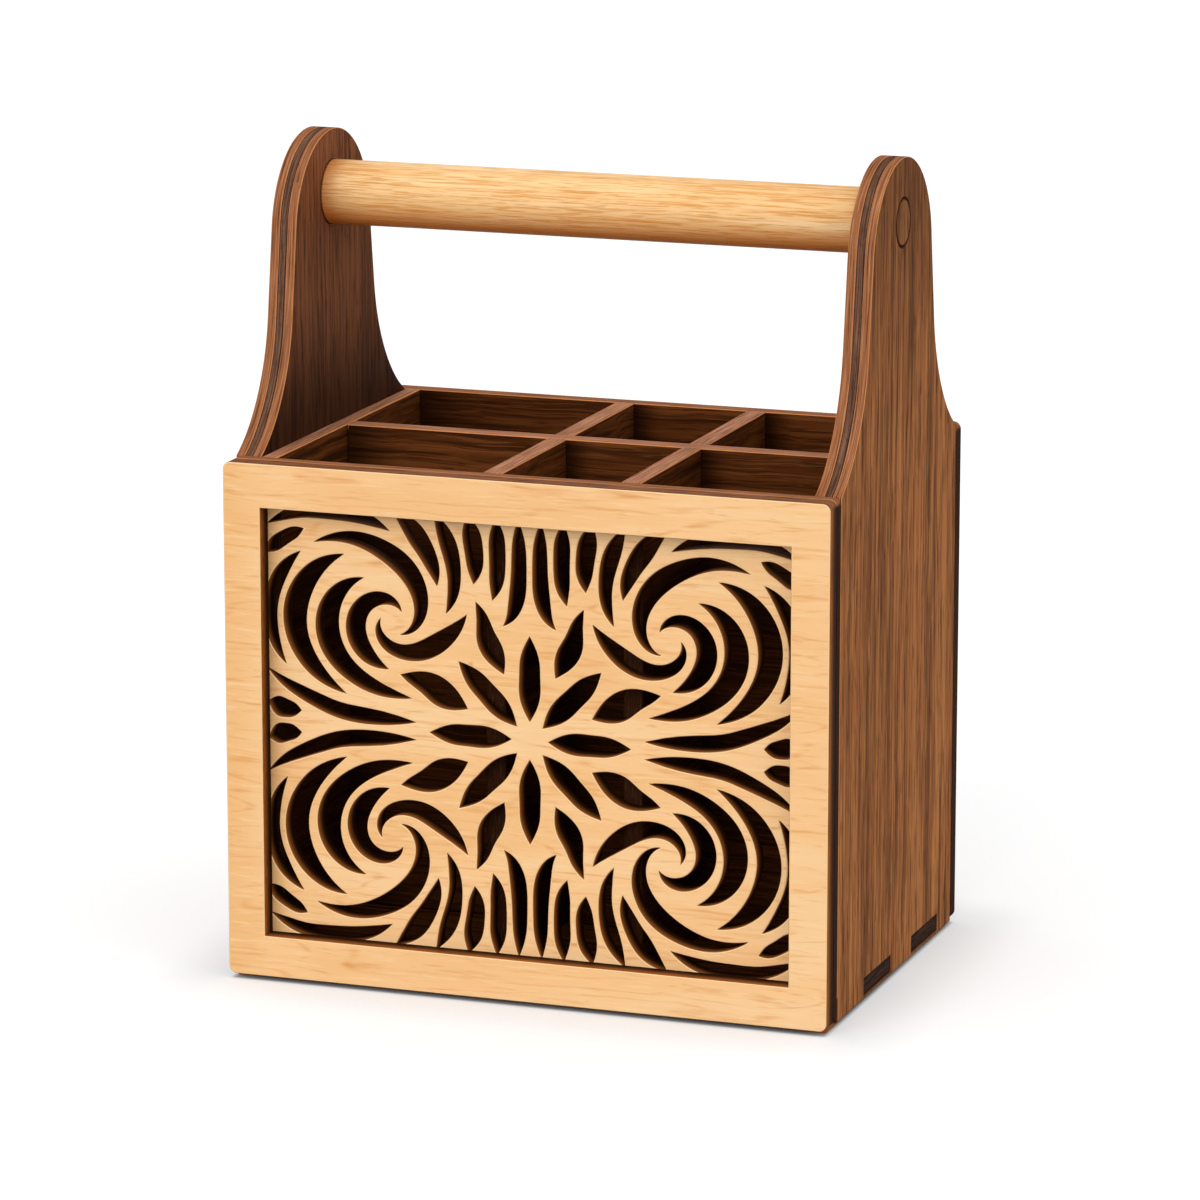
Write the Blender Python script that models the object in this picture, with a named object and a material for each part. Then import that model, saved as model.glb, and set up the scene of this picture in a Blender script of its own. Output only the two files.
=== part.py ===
"""Wooden organizer caddy: laminated sides with ears, a turned handle, an egg crate of dividers
and a pierced floral panel behind a pale face frame.

Metres, +Z up, the front towards -Y.  The origin is the middle of the footprint, on the floor.
Outlines are two-dimensional: across and up for a board that faces the front, back and up for
one that faces a side, across and back for one that lies flat.
"""

import math

import bmesh
import bpy
import numpy as np
from mathutils import Vector
from mathutils.geometry import interpolate_bezier

# The body
WIDTH = 0.240                  # over the outer faces of the two sides
BOARD_HEIGHT = 0.200           # face frame, front wall and back panel
SIDE_DEPTH = 0.1495            # front to back edge of a side
SEAM = 0.0003                  # glue line or fitting gap between pieces that touch
EASED_EDGE = 0.0004            # small chamfer along the boards' edges
ARC_STEP = math.radians(7.5)   # the most that one facet of a round stretch turns

# Three plies make one side
OUTER_PLY = 0.0035
CORE_PLY = 0.0026
INNER_PLY = 0.0035

# The boards
FRAME_THICKNESS = 0.0080
FRONT_WALL_THICKNESS = 0.0048
BACK_THICKNESS = 0.0065
BOTTOM_THICKNESS = 0.0058
DIVIDER_THICKNESS = 0.0076
LINER_THICKNESS = 0.0060
CORNER_RADIUS = 0.0030         # rounded corners of the front and back boards

# The ear that rises from each side
EAR_HEIGHT = 0.115             # from the rim to the top of the ear
EAR_RADIUS = 0.038
NECK_TAPER = math.radians(8.0)
NECK_HEIGHT = 0.048            # where the straight neck starts, above the rim
NECK_PULL = 0.0240             # how far the flare keeps to the neck's line
RIM_PULL = 0.0154              # how far the flare keeps to its slope at the rim
RIM_SLOPE = math.radians(27.0)
FLARE_POINTS = 11

# The handle
HANDLE_DIAMETER = 0.025
HANDLE_BELOW_TOP = 0.0245      # its axis, below the top of the ears
HANDLE_CHAMFER = 0.0008
PLUG_DIAMETER = 0.0182
SCREW_HEAD_DIAMETER = 0.0080
SCREW_SHANK_DIAMETER = 0.0040
SCREW_HEAD_HEIGHT = 0.0022
SCREW_LENGTH = 0.0300          # under the head's face
SCREW_POINT = 0.0050
ROUND_SIDES = 40

# The window in the face frame
WINDOW_SIDE_MARGIN = 0.0150
WINDOW_TOP_MARGIN = 0.0170
WINDOW_BOTTOM_MARGIN = 0.0160

# The bottom panel and its tabs through the sides
BOTTOM_LIFT = 0.0016           # its underside, above the lower edge of the sides
TAB_LENGTH = 0.0340
FRONT_TAB_SETBACK = 0.0340     # from the front edge of a side to the first tab
REAR_TAB_SETBACK = 0.0190      # from the back edge of a side to the second tab

# The dividers, from the inner face of the left side
FIRST_BAY = 0.0895
SECOND_BAY = 0.0471

# The feet
FOOT_HEIGHT = 0.0020
FOOT_LENGTH = 0.0165
FOOT_WIDTH = 0.0080
FOOT_SIDE_INSET = 0.0015
FRONT_FOOT_INSET = 0.0050
REAR_FOOT_INSET = 0.0125

# The fretwork: pointed voids on spines that leave a flower and curl into four scrolls
FRETWORK_THICKNESS = 0.0080
FRETWORK_BORDER = 0.0044       # hidden behind the face frame on every side
FRETWORK_TUCK = 0.0015         # how far the voids run in behind the face frame
RIBBON = 0.0024                # least wood between two voids
VOID_REACH = 0.0075            # most that a void spreads to one side of its spine
VOID_SWELL_SHARES = (0.85, 0.75)   # where along its spine a void is widest, and how bluntly
FOLD_SHARE = 0.96              # a void stops spreading where it would fold over itself
SPINE_GAP = 0.0080             # room that a new spine needs about its seed
SPINE_GAP_SHARE = 0.8          # part of that room that it keeps on its way
SCROLL_GAP = 0.0052            # room round the inner ends of the scrolls' arms
LONGEST_SPINE = 0.0750
SHORTEST_SPINE = 0.0125
STREAM_STEP = 0.0008
WIDTH_STEP = 0.0002
PETALS = 8
PETAL_SPAN = (0.0075, 0.0400)  # inner and outer end, from the middle of the flower
SEPAL_SPAN = (0.0270, 0.0560)
SCROLL_ARMS = 3
SCROLL_EYE = 0.0052            # bare disc at the middle of a scroll
SCROLL_PLACE_SHARES = (0.52, 0.50)
SCROLL_PULL = 0.45             # inward pull of a scroll beside its turn
FLOWER_PUSH = 1.20             # outward push of the flower beside a scroll's turn
SEED_ROWS = 24
SPINE_POINTS = 48
ARCH_SHARE = 1.10              # tightest arch of a void's edge, against one as long as the void
EASING_POINTS = 3.5            # how far along a spine its widths are evened out
EASING_SLACK = 0.0004          # what that may take from a ribbon
FEWEST_EDGE_POINTS = 9         # on each side of a void, its two ends included
EDGE_POINT_TURN = math.radians(12.0)

# Colours as they look in daylight, red, green and blue from 0 to 255
MAPLE_COLOUR = (243, 196, 136)
WALNUT_COLOUR = (133, 85, 50)
WALNUT_EDGE_COLOUR = (142, 98, 74)
CORE_COLOUR = (98, 80, 74)
INTERIOR_COLOUR = (92, 56, 30)
OAK_COLOUR = (226, 170, 106)
END_GRAIN_COLOUR = (64, 44, 34)
STEEL_COLOUR = (170, 170, 174)

# Places worked out from the sizes above
SIDE_THICKNESS = OUTER_PLY + SEAM + CORE_PLY + SEAM + INNER_PLY
HALF_WIDTH = WIDTH / 2
INNER_FACE = HALF_WIDTH - SIDE_THICKNESS
FRONT_ASSEMBLY = FRAME_THICKNESS + SEAM + FRONT_WALL_THICKNESS
DEPTH = FRONT_ASSEMBLY + SEAM + SIDE_DEPTH + SEAM + BACK_THICKNESS
FRONT = -DEPTH / 2
BACK = DEPTH / 2
FRAME_REAR = FRONT + FRAME_THICKNESS
FRONT_WALL_REAR = FRONT + FRONT_ASSEMBLY
FRETWORK_FACE = FRAME_REAR + SEAM
FRETWORK_REAR = FRETWORK_FACE + FRETWORK_THICKNESS
BACK_FACE = BACK - BACK_THICKNESS
SIDE_FRONT = FRONT_WALL_REAR + SEAM
SIDE_BACK = BACK_FACE - SEAM
SIDE_MIDDLE = (SIDE_FRONT + SIDE_BACK) / 2
BASE = FOOT_HEIGHT
RIM = BASE + BOARD_HEIGHT
EAR_TOP = RIM + EAR_HEIGHT
HANDLE_AXIS = EAR_TOP - HANDLE_BELOW_TOP
BOTTOM_UNDERSIDE = BASE + BOTTOM_LIFT
BOTTOM_TOP = BOTTOM_UNDERSIDE + BOTTOM_THICKNESS
DIVIDER_FOOT = BOTTOM_TOP + SEAM
LAP_HEIGHT = (DIVIDER_FOOT + RIM) / 2
ROW_MIDDLE = (FRONT_WALL_REAR + BACK_FACE) / 2
WINDOW_HALF_WIDTH = HALF_WIDTH - WINDOW_SIDE_MARGIN
WINDOW_LOW = BASE + WINDOW_BOTTOM_MARGIN
WINDOW_HIGH = RIM - WINDOW_TOP_MARGIN
WINDOW_MIDDLE = (WINDOW_LOW + WINDOW_HIGH) / 2
WINDOW_HALF = complex(WINDOW_HALF_WIDTH, (WINDOW_HIGH - WINDOW_LOW) / 2)
VOID_LIMIT = WINDOW_HALF + complex(FRETWORK_TUCK, FRETWORK_TUCK)
SCROLL_ACROSS, SCROLL_UP = SCROLL_PLACE_SHARES
SCROLL_CENTRE = complex(SCROLL_ACROSS * WINDOW_HALF.real, SCROLL_UP * WINDOW_HALF.imag)


def clear_scene():
    """Start from an empty scene."""
    for item in list(bpy.data.objects):
        bpy.data.objects.remove(item, do_unlink=True)


def linear(colour):
    """Turn a daylight colour into the linear values that a shader takes."""
    shares = [channel / 255 for channel in colour]
    return [share / 12.92 if share <= 0.04045 else ((share + 0.055) / 1.055) ** 2.4 for share in shares]


def make_material(name, colour, roughness, metallic=0.0):
    """A plain Principled material."""
    material = bpy.data.materials.new(name)
    material.use_nodes = True
    shader = material.node_tree.nodes["Principled BSDF"]
    shader.inputs["Base Color"].default_value = (*linear(colour), 1.0)
    shader.inputs["Roughness"].default_value = roughness
    shader.inputs["Metallic"].default_value = metallic
    return material


def finish_object(name, work_mesh, colour, roughness=0.5, metallic=0.0):
    """Turn a work mesh into a named object with its own material and smooth round faces."""
    bmesh.ops.recalc_face_normals(work_mesh, faces=work_mesh.faces)
    mesh = bpy.data.meshes.new(name)
    work_mesh.to_mesh(mesh)
    work_mesh.free()
    mesh.shade_smooth()
    mesh.set_sharp_from_angle(angle=math.radians(30.0))
    mesh.materials.append(make_material(name, colour, roughness, metallic))
    item = bpy.data.objects.new(name, mesh)
    bpy.context.collection.objects.link(item)
    return item


def rectangle(low_across, low_up, high_across, high_up):
    """Corners of a rectangle, counter-clockwise."""
    corners = ((low_across, low_up), (high_across, low_up), (high_across, high_up), (low_across, high_up))
    return [Vector(corner) for corner in corners]


def arc(centre, radius, start, end):
    """Points of an arc from one angle to another, both ends included."""
    pieces = max(2, math.ceil(abs(end - start) / ARC_STEP))
    angles = [start + (end - start) * index / pieces for index in range(pieces + 1)]
    return [centre + radius * Vector((math.cos(angle), math.sin(angle))) for angle in angles]


def circle(centre, radius):
    """A closed circle, counter-clockwise."""
    angles = [math.tau * index / ROUND_SIDES for index in range(ROUND_SIDES)]
    return [centre + radius * Vector((math.cos(angle), math.sin(angle))) for angle in angles]


def rounded_rectangle(low_across, low_up, high_across, high_up, radius):
    """A rectangle with round corners, counter-clockwise."""
    inner = rectangle(low_across + radius, low_up + radius, high_across - radius, high_up - radius)
    outline = []
    for index, corner in enumerate(inner):
        start = math.pi + index * math.pi / 2
        outline += arc(corner, radius, start, start + math.pi / 2)
    return outline


def mirrored(points, middle=0.0):
    """The same outline points on the other side of an upright line, in reverse order."""
    return [Vector((2 * middle - point.x, point.y)) for point in reversed(points)]


def moved_inward(loop, distance):
    """Move the corners of a closed loop to its left, square to its edges."""
    moved = []
    for index, corner in enumerate(loop):
        before = (corner - loop[index - 1]).normalized()
        after = (loop[(index + 1) % len(loop)] - corner).normalized()
        left = Vector((-before.y - after.y, before.x + after.x)) / (1 + before.dot(after))
        moved.append(corner + distance * left)
    return moved


def board(name, outline, holes, axis, low, high, colour, eased=EASED_EDGE):
    """A flat board between two levels along one axis, with holes and eased edges.

    The outline and the holes are counter-clockwise loops in the other two axes.
    """
    loops = [outline] + [list(reversed(hole)) for hole in holes]
    levels = [(low, 0.0), (high, 0.0)]
    if eased:
        levels = [(low, eased), (low + eased, 0.0), (high - eased, 0.0), (high, eased)]
    work_mesh = bmesh.new()
    caps = ([], [])
    for loop in loops:
        rings = []
        for level, inset in levels:
            ring = []
            for point in moved_inward(loop, inset):
                place = list(point)
                place.insert(axis, level)
                ring.append(work_mesh.verts.new(place))
            rings.append(ring)
        for lower, upper in zip(rings, rings[1:]):
            for index in range(len(loop)):
                work_mesh.faces.new((lower[index - 1], lower[index], upper[index], upper[index - 1]))
        for cap, ring in zip(caps, (rings[0], rings[-1])):
            cap += [work_mesh.edges.get((ring[index - 1], ring[index])) for index in range(len(ring))]
    for cap in caps:
        bmesh.ops.triangle_fill(work_mesh, use_beauty=True, use_dissolve=False, edges=cap)
    return finish_object(name, work_mesh, colour)


def turned(name, profile, centre, colour, roughness=0.4, metallic=0.0):
    """A piece turned about an axis along X, from (place along the axis, radius) pairs."""
    work_mesh = bmesh.new()
    rings = []
    for along, radius in profile:
        if radius == 0:
            rings.append([work_mesh.verts.new((along, centre.x, centre.y))] * ROUND_SIDES)
            continue
        points = circle(centre, radius)
        rings.append([work_mesh.verts.new((along, point.x, point.y)) for point in points])
    for near, far in zip(rings, rings[1:]):
        for index in range(ROUND_SIDES):
            corners = (near[index - 1], near[index], far[index], far[index - 1])
            work_mesh.faces.new(list(dict.fromkeys(corners)))
    return finish_object(name, work_mesh, colour, roughness, metallic)


def ear_half():
    """The back half of an ear's edge, from the rim up to the top, about the side's middle."""
    middle = Vector((SIDE_MIDDLE, EAR_TOP - EAR_RADIUS))
    crown = arc(middle, EAR_RADIUS, NECK_TAPER, math.pi / 2)
    down = Vector((math.tan(NECK_TAPER), -1.0))
    neck = crown[0] + down * (crown[0].y - RIM - NECK_HEIGHT)
    rim_corner = Vector((SIDE_BACK, RIM))
    rim_pull = RIM_PULL * Vector((-math.cos(RIM_SLOPE), math.sin(RIM_SLOPE)))
    neck_pull = NECK_PULL * down.normalized()
    flare = interpolate_bezier(rim_corner, rim_corner + rim_pull, neck + neck_pull, neck, FLARE_POINTS)
    return [Vector(point[:2]) for point in flare] + crown


def side_outline():
    """The outline that the three plies of a side share."""
    half = ear_half()
    feet = [Vector((SIDE_FRONT, BASE)), Vector((SIDE_BACK, BASE))]
    return feet + half[:-1] + mirrored(half, SIDE_MIDDLE)


def tab_spans():
    """Where the tabs start and end along the depth."""
    first = SIDE_FRONT + FRONT_TAB_SETBACK
    last = SIDE_BACK - REAR_TAB_SETBACK
    return ((first, first + TAB_LENGTH), (last - TAB_LENGTH, last))


def tab_slots():
    """The slots in a side that the tabs pass through."""
    low = BOTTOM_UNDERSIDE - SEAM
    high = BOTTOM_TOP + SEAM
    return [rectangle(start - SEAM, low, end + SEAM, high) for start, end in tab_spans()]


def make_side(name, direction):
    """Three plies, from the outside in, each with its own hole round the handle's axis."""
    axis_point = Vector((SIDE_MIDDLE, HANDLE_AXIS))
    plies = (
        ("outer", OUTER_PLY, PLUG_DIAMETER / 2 + SEAM, WALNUT_COLOUR, EASED_EDGE),
        ("core", CORE_PLY, SCREW_HEAD_DIAMETER / 2 + SEAM, CORE_COLOUR, 0.0),
        ("inner", INNER_PLY, HANDLE_DIAMETER / 2 + SEAM, WALNUT_COLOUR, EASED_EDGE),
    )
    outside = HALF_WIDTH
    for ply, thickness, hole_radius, colour, eased in plies:
        low, high = sorted((direction * outside, direction * (outside - thickness)))
        holes = tab_slots() + [circle(axis_point, hole_radius)]
        board(f"side_{ply}_{name}", side_outline(), holes, 0, low, high, colour, eased)
        outside -= thickness + SEAM


def make_handle():
    """The dowel between the core plies, with a pilot hole in each end."""
    half = INNER_FACE + INNER_PLY
    radius = HANDLE_DIAMETER / 2
    pilot = SCREW_SHANK_DIAMETER / 2 + SEAM
    bottom = half + CORE_PLY - SCREW_LENGTH - SEAM
    right_end = [(half - HANDLE_CHAMFER, radius), (half, radius - HANDLE_CHAMFER)]
    right_end += [(half, pilot), (bottom, pilot), (bottom, 0.0)]
    left_end = [(-along, round_by) for along, round_by in reversed(right_end)]
    turned("handle_dowel", left_end + right_end, Vector((SIDE_MIDDLE, HANDLE_AXIS)), OAK_COLOUR)


def make_handle_fixing(name, direction):
    """A countersunk screw through the core ply and the wooden plug that hides it."""
    centre = Vector((SIDE_MIDDLE, HANDLE_AXIS))
    face = HALF_WIDTH - OUTER_PLY - SEAM
    head = SCREW_HEAD_DIAMETER / 2
    shank = SCREW_SHANK_DIAMETER / 2
    tip = face - SCREW_LENGTH
    screw = [(face, 0.0), (face, head), (face - SCREW_HEAD_HEIGHT, shank)]
    screw += [(tip + SCREW_POINT, shank), (tip, 0.0)]
    plug_radius = PLUG_DIAMETER / 2
    plug_rear = HALF_WIDTH - OUTER_PLY
    plug = [(plug_rear, 0.0), (plug_rear, plug_radius), (HALF_WIDTH - EASED_EDGE, plug_radius)]
    plug += [(HALF_WIDTH, plug_radius - EASED_EDGE), (HALF_WIDTH, 0.0)]
    screw = [(direction * along, radius) for along, radius in screw]
    plug = [(direction * along, radius) for along, radius in plug]
    turned(f"handle_screw_{name}", screw, centre, STEEL_COLOUR, 0.35, 1.0)
    turned(f"handle_plug_{name}", plug, centre, WALNUT_EDGE_COLOUR)


def fretwork_outline(clearance=0.0):
    """The fretwork's edge, or the rebate round it with a clearance."""
    border = FRETWORK_BORDER + clearance
    low = WINDOW_LOW - border
    high = WINDOW_HIGH + border
    return rectangle(-WINDOW_HALF_WIDTH - border, low, WINDOW_HALF_WIDTH + border, high)


def make_front():
    """The pale face frame and the walnut wall behind it, whose window holds the fretwork."""
    outline = rounded_rectangle(-HALF_WIDTH, BASE, HALF_WIDTH, RIM, CORNER_RADIUS)
    window = rectangle(-WINDOW_HALF_WIDTH, WINDOW_LOW, WINDOW_HALF_WIDTH, WINDOW_HIGH)
    board("front_frame", outline, [window], 1, FRONT, FRAME_REAR, MAPLE_COLOUR)
    low = FRAME_REAR + SEAM
    board("front_wall", outline, [fretwork_outline(SEAM)], 1, low, FRONT_WALL_REAR, WALNUT_EDGE_COLOUR)


def make_back():
    """The plain back panel."""
    outline = rounded_rectangle(-HALF_WIDTH, BASE, HALF_WIDTH, RIM, CORNER_RADIUS)
    board("back_panel", outline, [], 1, BACK_FACE, BACK, WALNUT_COLOUR)


def make_bottom():
    """The bottom panel, with two tabs to each side."""
    edge = INNER_FACE - SEAM
    tab_end = HALF_WIDTH - SEAM
    right = [Vector((edge, SIDE_FRONT))]
    for start, end in tab_spans():
        corners = ((edge, start), (tab_end, start), (tab_end, end), (edge, end))
        right += [Vector(corner) for corner in corners]
    right.append(Vector((edge, SIDE_BACK)))
    outline = right + mirrored(right)
    board("bottom_panel", outline, [], 2, BOTTOM_UNDERSIDE, BOTTOM_TOP, END_GRAIN_COLOUR)


def divider_middles():
    """Where the two cross dividers stand across the width."""
    first = -INNER_FACE + FIRST_BAY + DIVIDER_THICKNESS / 2
    return (first, first + DIVIDER_THICKNESS + SECOND_BAY)


def front_end(back_end):
    """The stepped front end of a board that runs from front to back, clear of the fretwork."""
    step_height = WINDOW_HIGH + FRETWORK_BORDER + SEAM
    behind_fretwork = FRETWORK_REAR + SEAM
    corners = ((SIDE_FRONT, RIM), (SIDE_FRONT, step_height), (behind_fretwork, step_height),
               (behind_fretwork, DIVIDER_FOOT), (back_end, DIVIDER_FOOT), (back_end, RIM))
    return [Vector(corner) for corner in corners]


def make_cross_dividers():
    """Two dividers from front to back, notched from above for the row divider."""
    half_notch = DIVIDER_THICKNESS / 2 + SEAM
    notch_foot = LAP_HEIGHT - SEAM / 2
    notch = [Vector((ROW_MIDDLE + half_notch, RIM)), Vector((ROW_MIDDLE + half_notch, notch_foot))]
    notch += mirrored(notch, ROW_MIDDLE)
    for number, middle in enumerate(divider_middles(), start=1):
        low = middle - DIVIDER_THICKNESS / 2
        high = middle + DIVIDER_THICKNESS / 2
        board(f"cross_divider_{number}", front_end(SIDE_BACK) + notch, [], 0, low, high, INTERIOR_COLOUR)


def make_row_divider():
    """The divider along the width, notched from below where the cross dividers pass."""
    half_notch = DIVIDER_THICKNESS / 2 + SEAM
    high = LAP_HEIGHT + SEAM / 2
    left = -INNER_FACE + SEAM + LINER_THICKNESS + SEAM
    right = INNER_FACE - SEAM
    outline = [Vector((left, DIVIDER_FOOT))]
    for middle in divider_middles():
        outline += [Vector((middle - half_notch, DIVIDER_FOOT)), Vector((middle - half_notch, high))]
        outline += [Vector((middle + half_notch, high)), Vector((middle + half_notch, DIVIDER_FOOT))]
    outline += [Vector((right, DIVIDER_FOOT)), Vector((right, RIM)), Vector((left, RIM))]
    low = ROW_MIDDLE - DIVIDER_THICKNESS / 2
    board("row_divider", outline, [], 1, low, low + DIVIDER_THICKNESS, INTERIOR_COLOUR)


def make_liner():
    """The liner against the left side, up to the rim."""
    left = -INNER_FACE + SEAM
    board("end_liner", front_end(SIDE_BACK), [], 0, left, left + LINER_THICKNESS, INTERIOR_COLOUR)


def make_feet():
    """Four low pads under the ends of the sides."""
    front_foot = FRONT + FRONT_FOOT_INSET
    rear_foot = BACK - REAR_FOOT_INSET - FOOT_LENGTH
    outer_edge = HALF_WIDTH - FOOT_SIDE_INSET
    for side_name, direction in (("left", -1), ("right", 1)):
        low, high = sorted((direction * outer_edge, direction * (outer_edge - FOOT_WIDTH)))
        for end_name, start in (("front", front_foot), ("rear", rear_foot)):
            outline = rectangle(low, start, high, start + FOOT_LENGTH)
            board(f"foot_{end_name}_{side_name}", outline, [], 2, 0.0, FOOT_HEIGHT - SEAM, END_GRAIN_COLOUR)


def flow(place):
    """Direction of the ornament: out of the flower and round the four scrolls."""
    direction = FLOWER_PUSH * place / abs(place) ** 2
    for across in (1, -1):
        for up in (1, -1):
            offset = place - complex(across * SCROLL_CENTRE.real, up * SCROLL_CENTRE.imag)
            turn = complex(-SCROLL_PULL, across * up)
            direction += turn * offset / abs(offset) ** 2
    return direction / abs(direction)


def stream(seed, direction, others, gap):
    """Follow the flow from a seed until it meets another spine, an axis, an eye or the edge."""
    path = []
    place = seed
    while len(path) * STREAM_STEP < LONGEST_SPINE:
        near_edge = place.real > VOID_LIMIT.real - WIDTH_STEP or place.imag > VOID_LIMIT.imag - WIDTH_STEP
        near_axis = min(place.real, place.imag) < gap / 2
        in_eye = abs(place - SCROLL_CENTRE) < SCROLL_EYE
        if near_edge or near_axis or in_eye or np.abs(others - place).min() < gap:
            break
        path.append(place)
        middle = place + direction * STREAM_STEP / 2 * flow(place)
        place = place + direction * STREAM_STEP * flow(middle)
    return path


def evenly_spaced(path):
    """The same path with its points at equal distances."""
    path = np.asarray(path)
    along = np.concatenate([[0.0], np.cumsum(np.abs(np.diff(path)))])
    wanted = np.linspace(0.0, along[-1], SPINE_POINTS)
    return np.interp(wanted, along, path.real) + 1j * np.interp(wanted, along, path.imag)


def flower_spines():
    """Petals and sepals in the first quarter, with those that lie on its two edges."""
    spines = []
    for index in range(PETALS // 2 + 1):
        start, end = PETAL_SPAN if index % 2 == 0 else SEPAL_SPAN
        ray = np.exp(1j * math.pi * index / PETALS)
        spines.append(np.linspace(start, end, SPINE_POINTS) * ray)
    return spines


def add_stream(spines, seed, gap):
    """Grow one spine both ways from a seed, if there is room for it."""
    others = np.concatenate(spines)
    ahead = stream(seed, 1, others, gap)
    behind = stream(seed, -1, others, gap)
    path = behind[:0:-1] + ahead
    most = int(LONGEST_SPINE / STREAM_STEP)
    first = max(0, min(len(behind) - most // 2, len(path) - most))
    path = path[first:first + most]
    if len(path) * STREAM_STEP > SHORTEST_SPINE:
        spines.append(evenly_spaced(path))


def quarter_spines():
    """The spines of all voids in the upper right quarter of the window."""
    spines = flower_spines()
    for index in range(SCROLL_ARMS):
        seed = SCROLL_CENTRE + (SCROLL_EYE + STREAM_STEP / 2) * np.exp(1j * math.tau * index / SCROLL_ARMS)
        add_stream(spines, seed, SCROLL_GAP)
    for row in range(SEED_ROWS + 1):
        for column in range(SEED_ROWS + 1):
            seed = complex(WINDOW_HALF.real * column / SEED_ROWS, WINDOW_HALF.imag * row / SEED_ROWS)
            others = np.concatenate(spines)
            if np.abs(others - seed).min() > SPINE_GAP:
                add_stream(spines, seed, SPINE_GAP * SPINE_GAP_SHARE)
    return spines


def reach(start, direction, own, others, most):
    """How far a void can spread from its spine and leave a ribbon to its neighbours."""
    width = 0.0
    while width + WIDTH_STEP < most:
        place = start + direction * (width + WIDTH_STEP)
        outside = abs(place.real) > VOID_LIMIT.real or abs(place.imag) > VOID_LIMIT.imag
        crowded = np.abs(others - place).min() < width + RIBBON
        folded = np.abs(own - place).min() < FOLD_SHARE * width
        if outside or crowded or folded:
            break
        width += WIDTH_STEP
    return width


def eased_widths(widths):
    """Take the sudden changes out of a row of widths that starts and ends at nothing."""
    places = np.arange(1 - SPINE_POINTS, SPINE_POINTS)
    bell = np.exp(-(places / EASING_POINTS) ** 2 / 2)
    reflected = np.concatenate([-widths[:0:-1], widths, -widths[-2::-1]])
    return np.convolve(reflected, bell / bell.sum(), "valid")


def smooth_widths(limits, length):
    """The fullest smooth swell of a void's edge that stays within the limits."""
    along = np.linspace(0.0, length, SPINE_POINTS)
    apart = along[:, None] - along[None, :]
    bowl = 4 * ARCH_SHARE * VOID_REACH * (apart / length) ** 2
    height = (limits[None, :] + bowl).min(1)
    arched = (height[None, :] - bowl).max(1)
    return np.clip(eased_widths(arched), 0.0, limits + EASING_SLACK)


def few_points(line):
    """Few points of a smooth line, closest together where it turns."""
    steps = np.diff(line)
    turns = np.concatenate([[0.0], np.abs(np.angle(steps[1:] / steps[:-1])), [0.0]])
    along = np.concatenate([[0.0], np.cumsum(np.abs(steps))])
    pace = np.cumsum(turns) / turns.sum() + along / along[-1]
    wanted = np.linspace(0.0, pace[-1], FEWEST_EDGE_POINTS + int(turns.sum() / EDGE_POINT_TURN))
    return np.interp(wanted, pace, line.real) + 1j * np.interp(wanted, pace, line.imag)


def void_outline(own, others):
    """A pointed void about a spine, spread to both sides as far as its neighbours let it."""
    tangents = np.gradient(own)
    tangents /= np.abs(tangents)
    place_share, blunt_share = VOID_SWELL_SHARES
    places = np.linspace(0.0, 1.0, SPINE_POINTS) ** place_share
    swell = VOID_REACH * np.sin(math.pi * places) ** blunt_share
    sides = []
    for normals in (-1j * tangents, 1j * tangents):
        inner = range(1, SPINE_POINTS - 1)
        limits = [reach(own[index], normals[index], own, others, swell[index]) for index in inner]
        widths = smooth_widths(np.array([0.0, *limits, 0.0]), np.abs(np.diff(own)).sum())
        line = own + normals * widths
        line[0] = own[0]
        line[-1] = own[-1]
        sides.append(list(few_points(line)[1:-1]))
    right, left = sides
    return [own[0]] + right + [own[-1]] + left[::-1]


def fretwork_voids():
    """Every void of the fretwork, counter-clockwise, about the middle of the window."""
    quarter = quarter_spines()
    spines = []
    for spine in quarter:
        copies = [spine, -np.conj(spine), np.conj(spine), -spine]
        if min(spine.real.max(), spine.imag.max()) < WIDTH_STEP:
            copies = [spine, -spine]
        spines += copies
    voids = []
    for index, spine in enumerate(spines):
        others = np.concatenate(spines[:index] + spines[index + 1:])
        outline = void_outline(spine, others)
        voids.append([Vector((place.real, place.imag + WINDOW_MIDDLE)) for place in outline])
    return voids


def make_fretwork():
    """The pierced panel, seated in the front wall's window."""
    edge = fretwork_outline()
    board("fretwork_panel", edge, fretwork_voids(), 1, FRETWORK_FACE, FRETWORK_REAR, MAPLE_COLOUR, 0.0)


def main():
    clear_scene()
    make_side("left", -1)
    make_side("right", 1)
    make_handle()
    make_handle_fixing("left", -1)
    make_handle_fixing("right", 1)
    make_front()
    make_fretwork()
    make_back()
    make_bottom()
    make_cross_dividers()
    make_row_divider()
    make_liner()
    make_feet()


main()
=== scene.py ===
"""A wooden organizer caddy, dressed for rendering.

Each flat board is sawn again from the outline of its solid, with smooth curves, eased edges and
a scorched line along every cut.  The handle and its plugs are turned again with more facets.
Metres, +Z up, the front towards -Y.
"""

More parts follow.
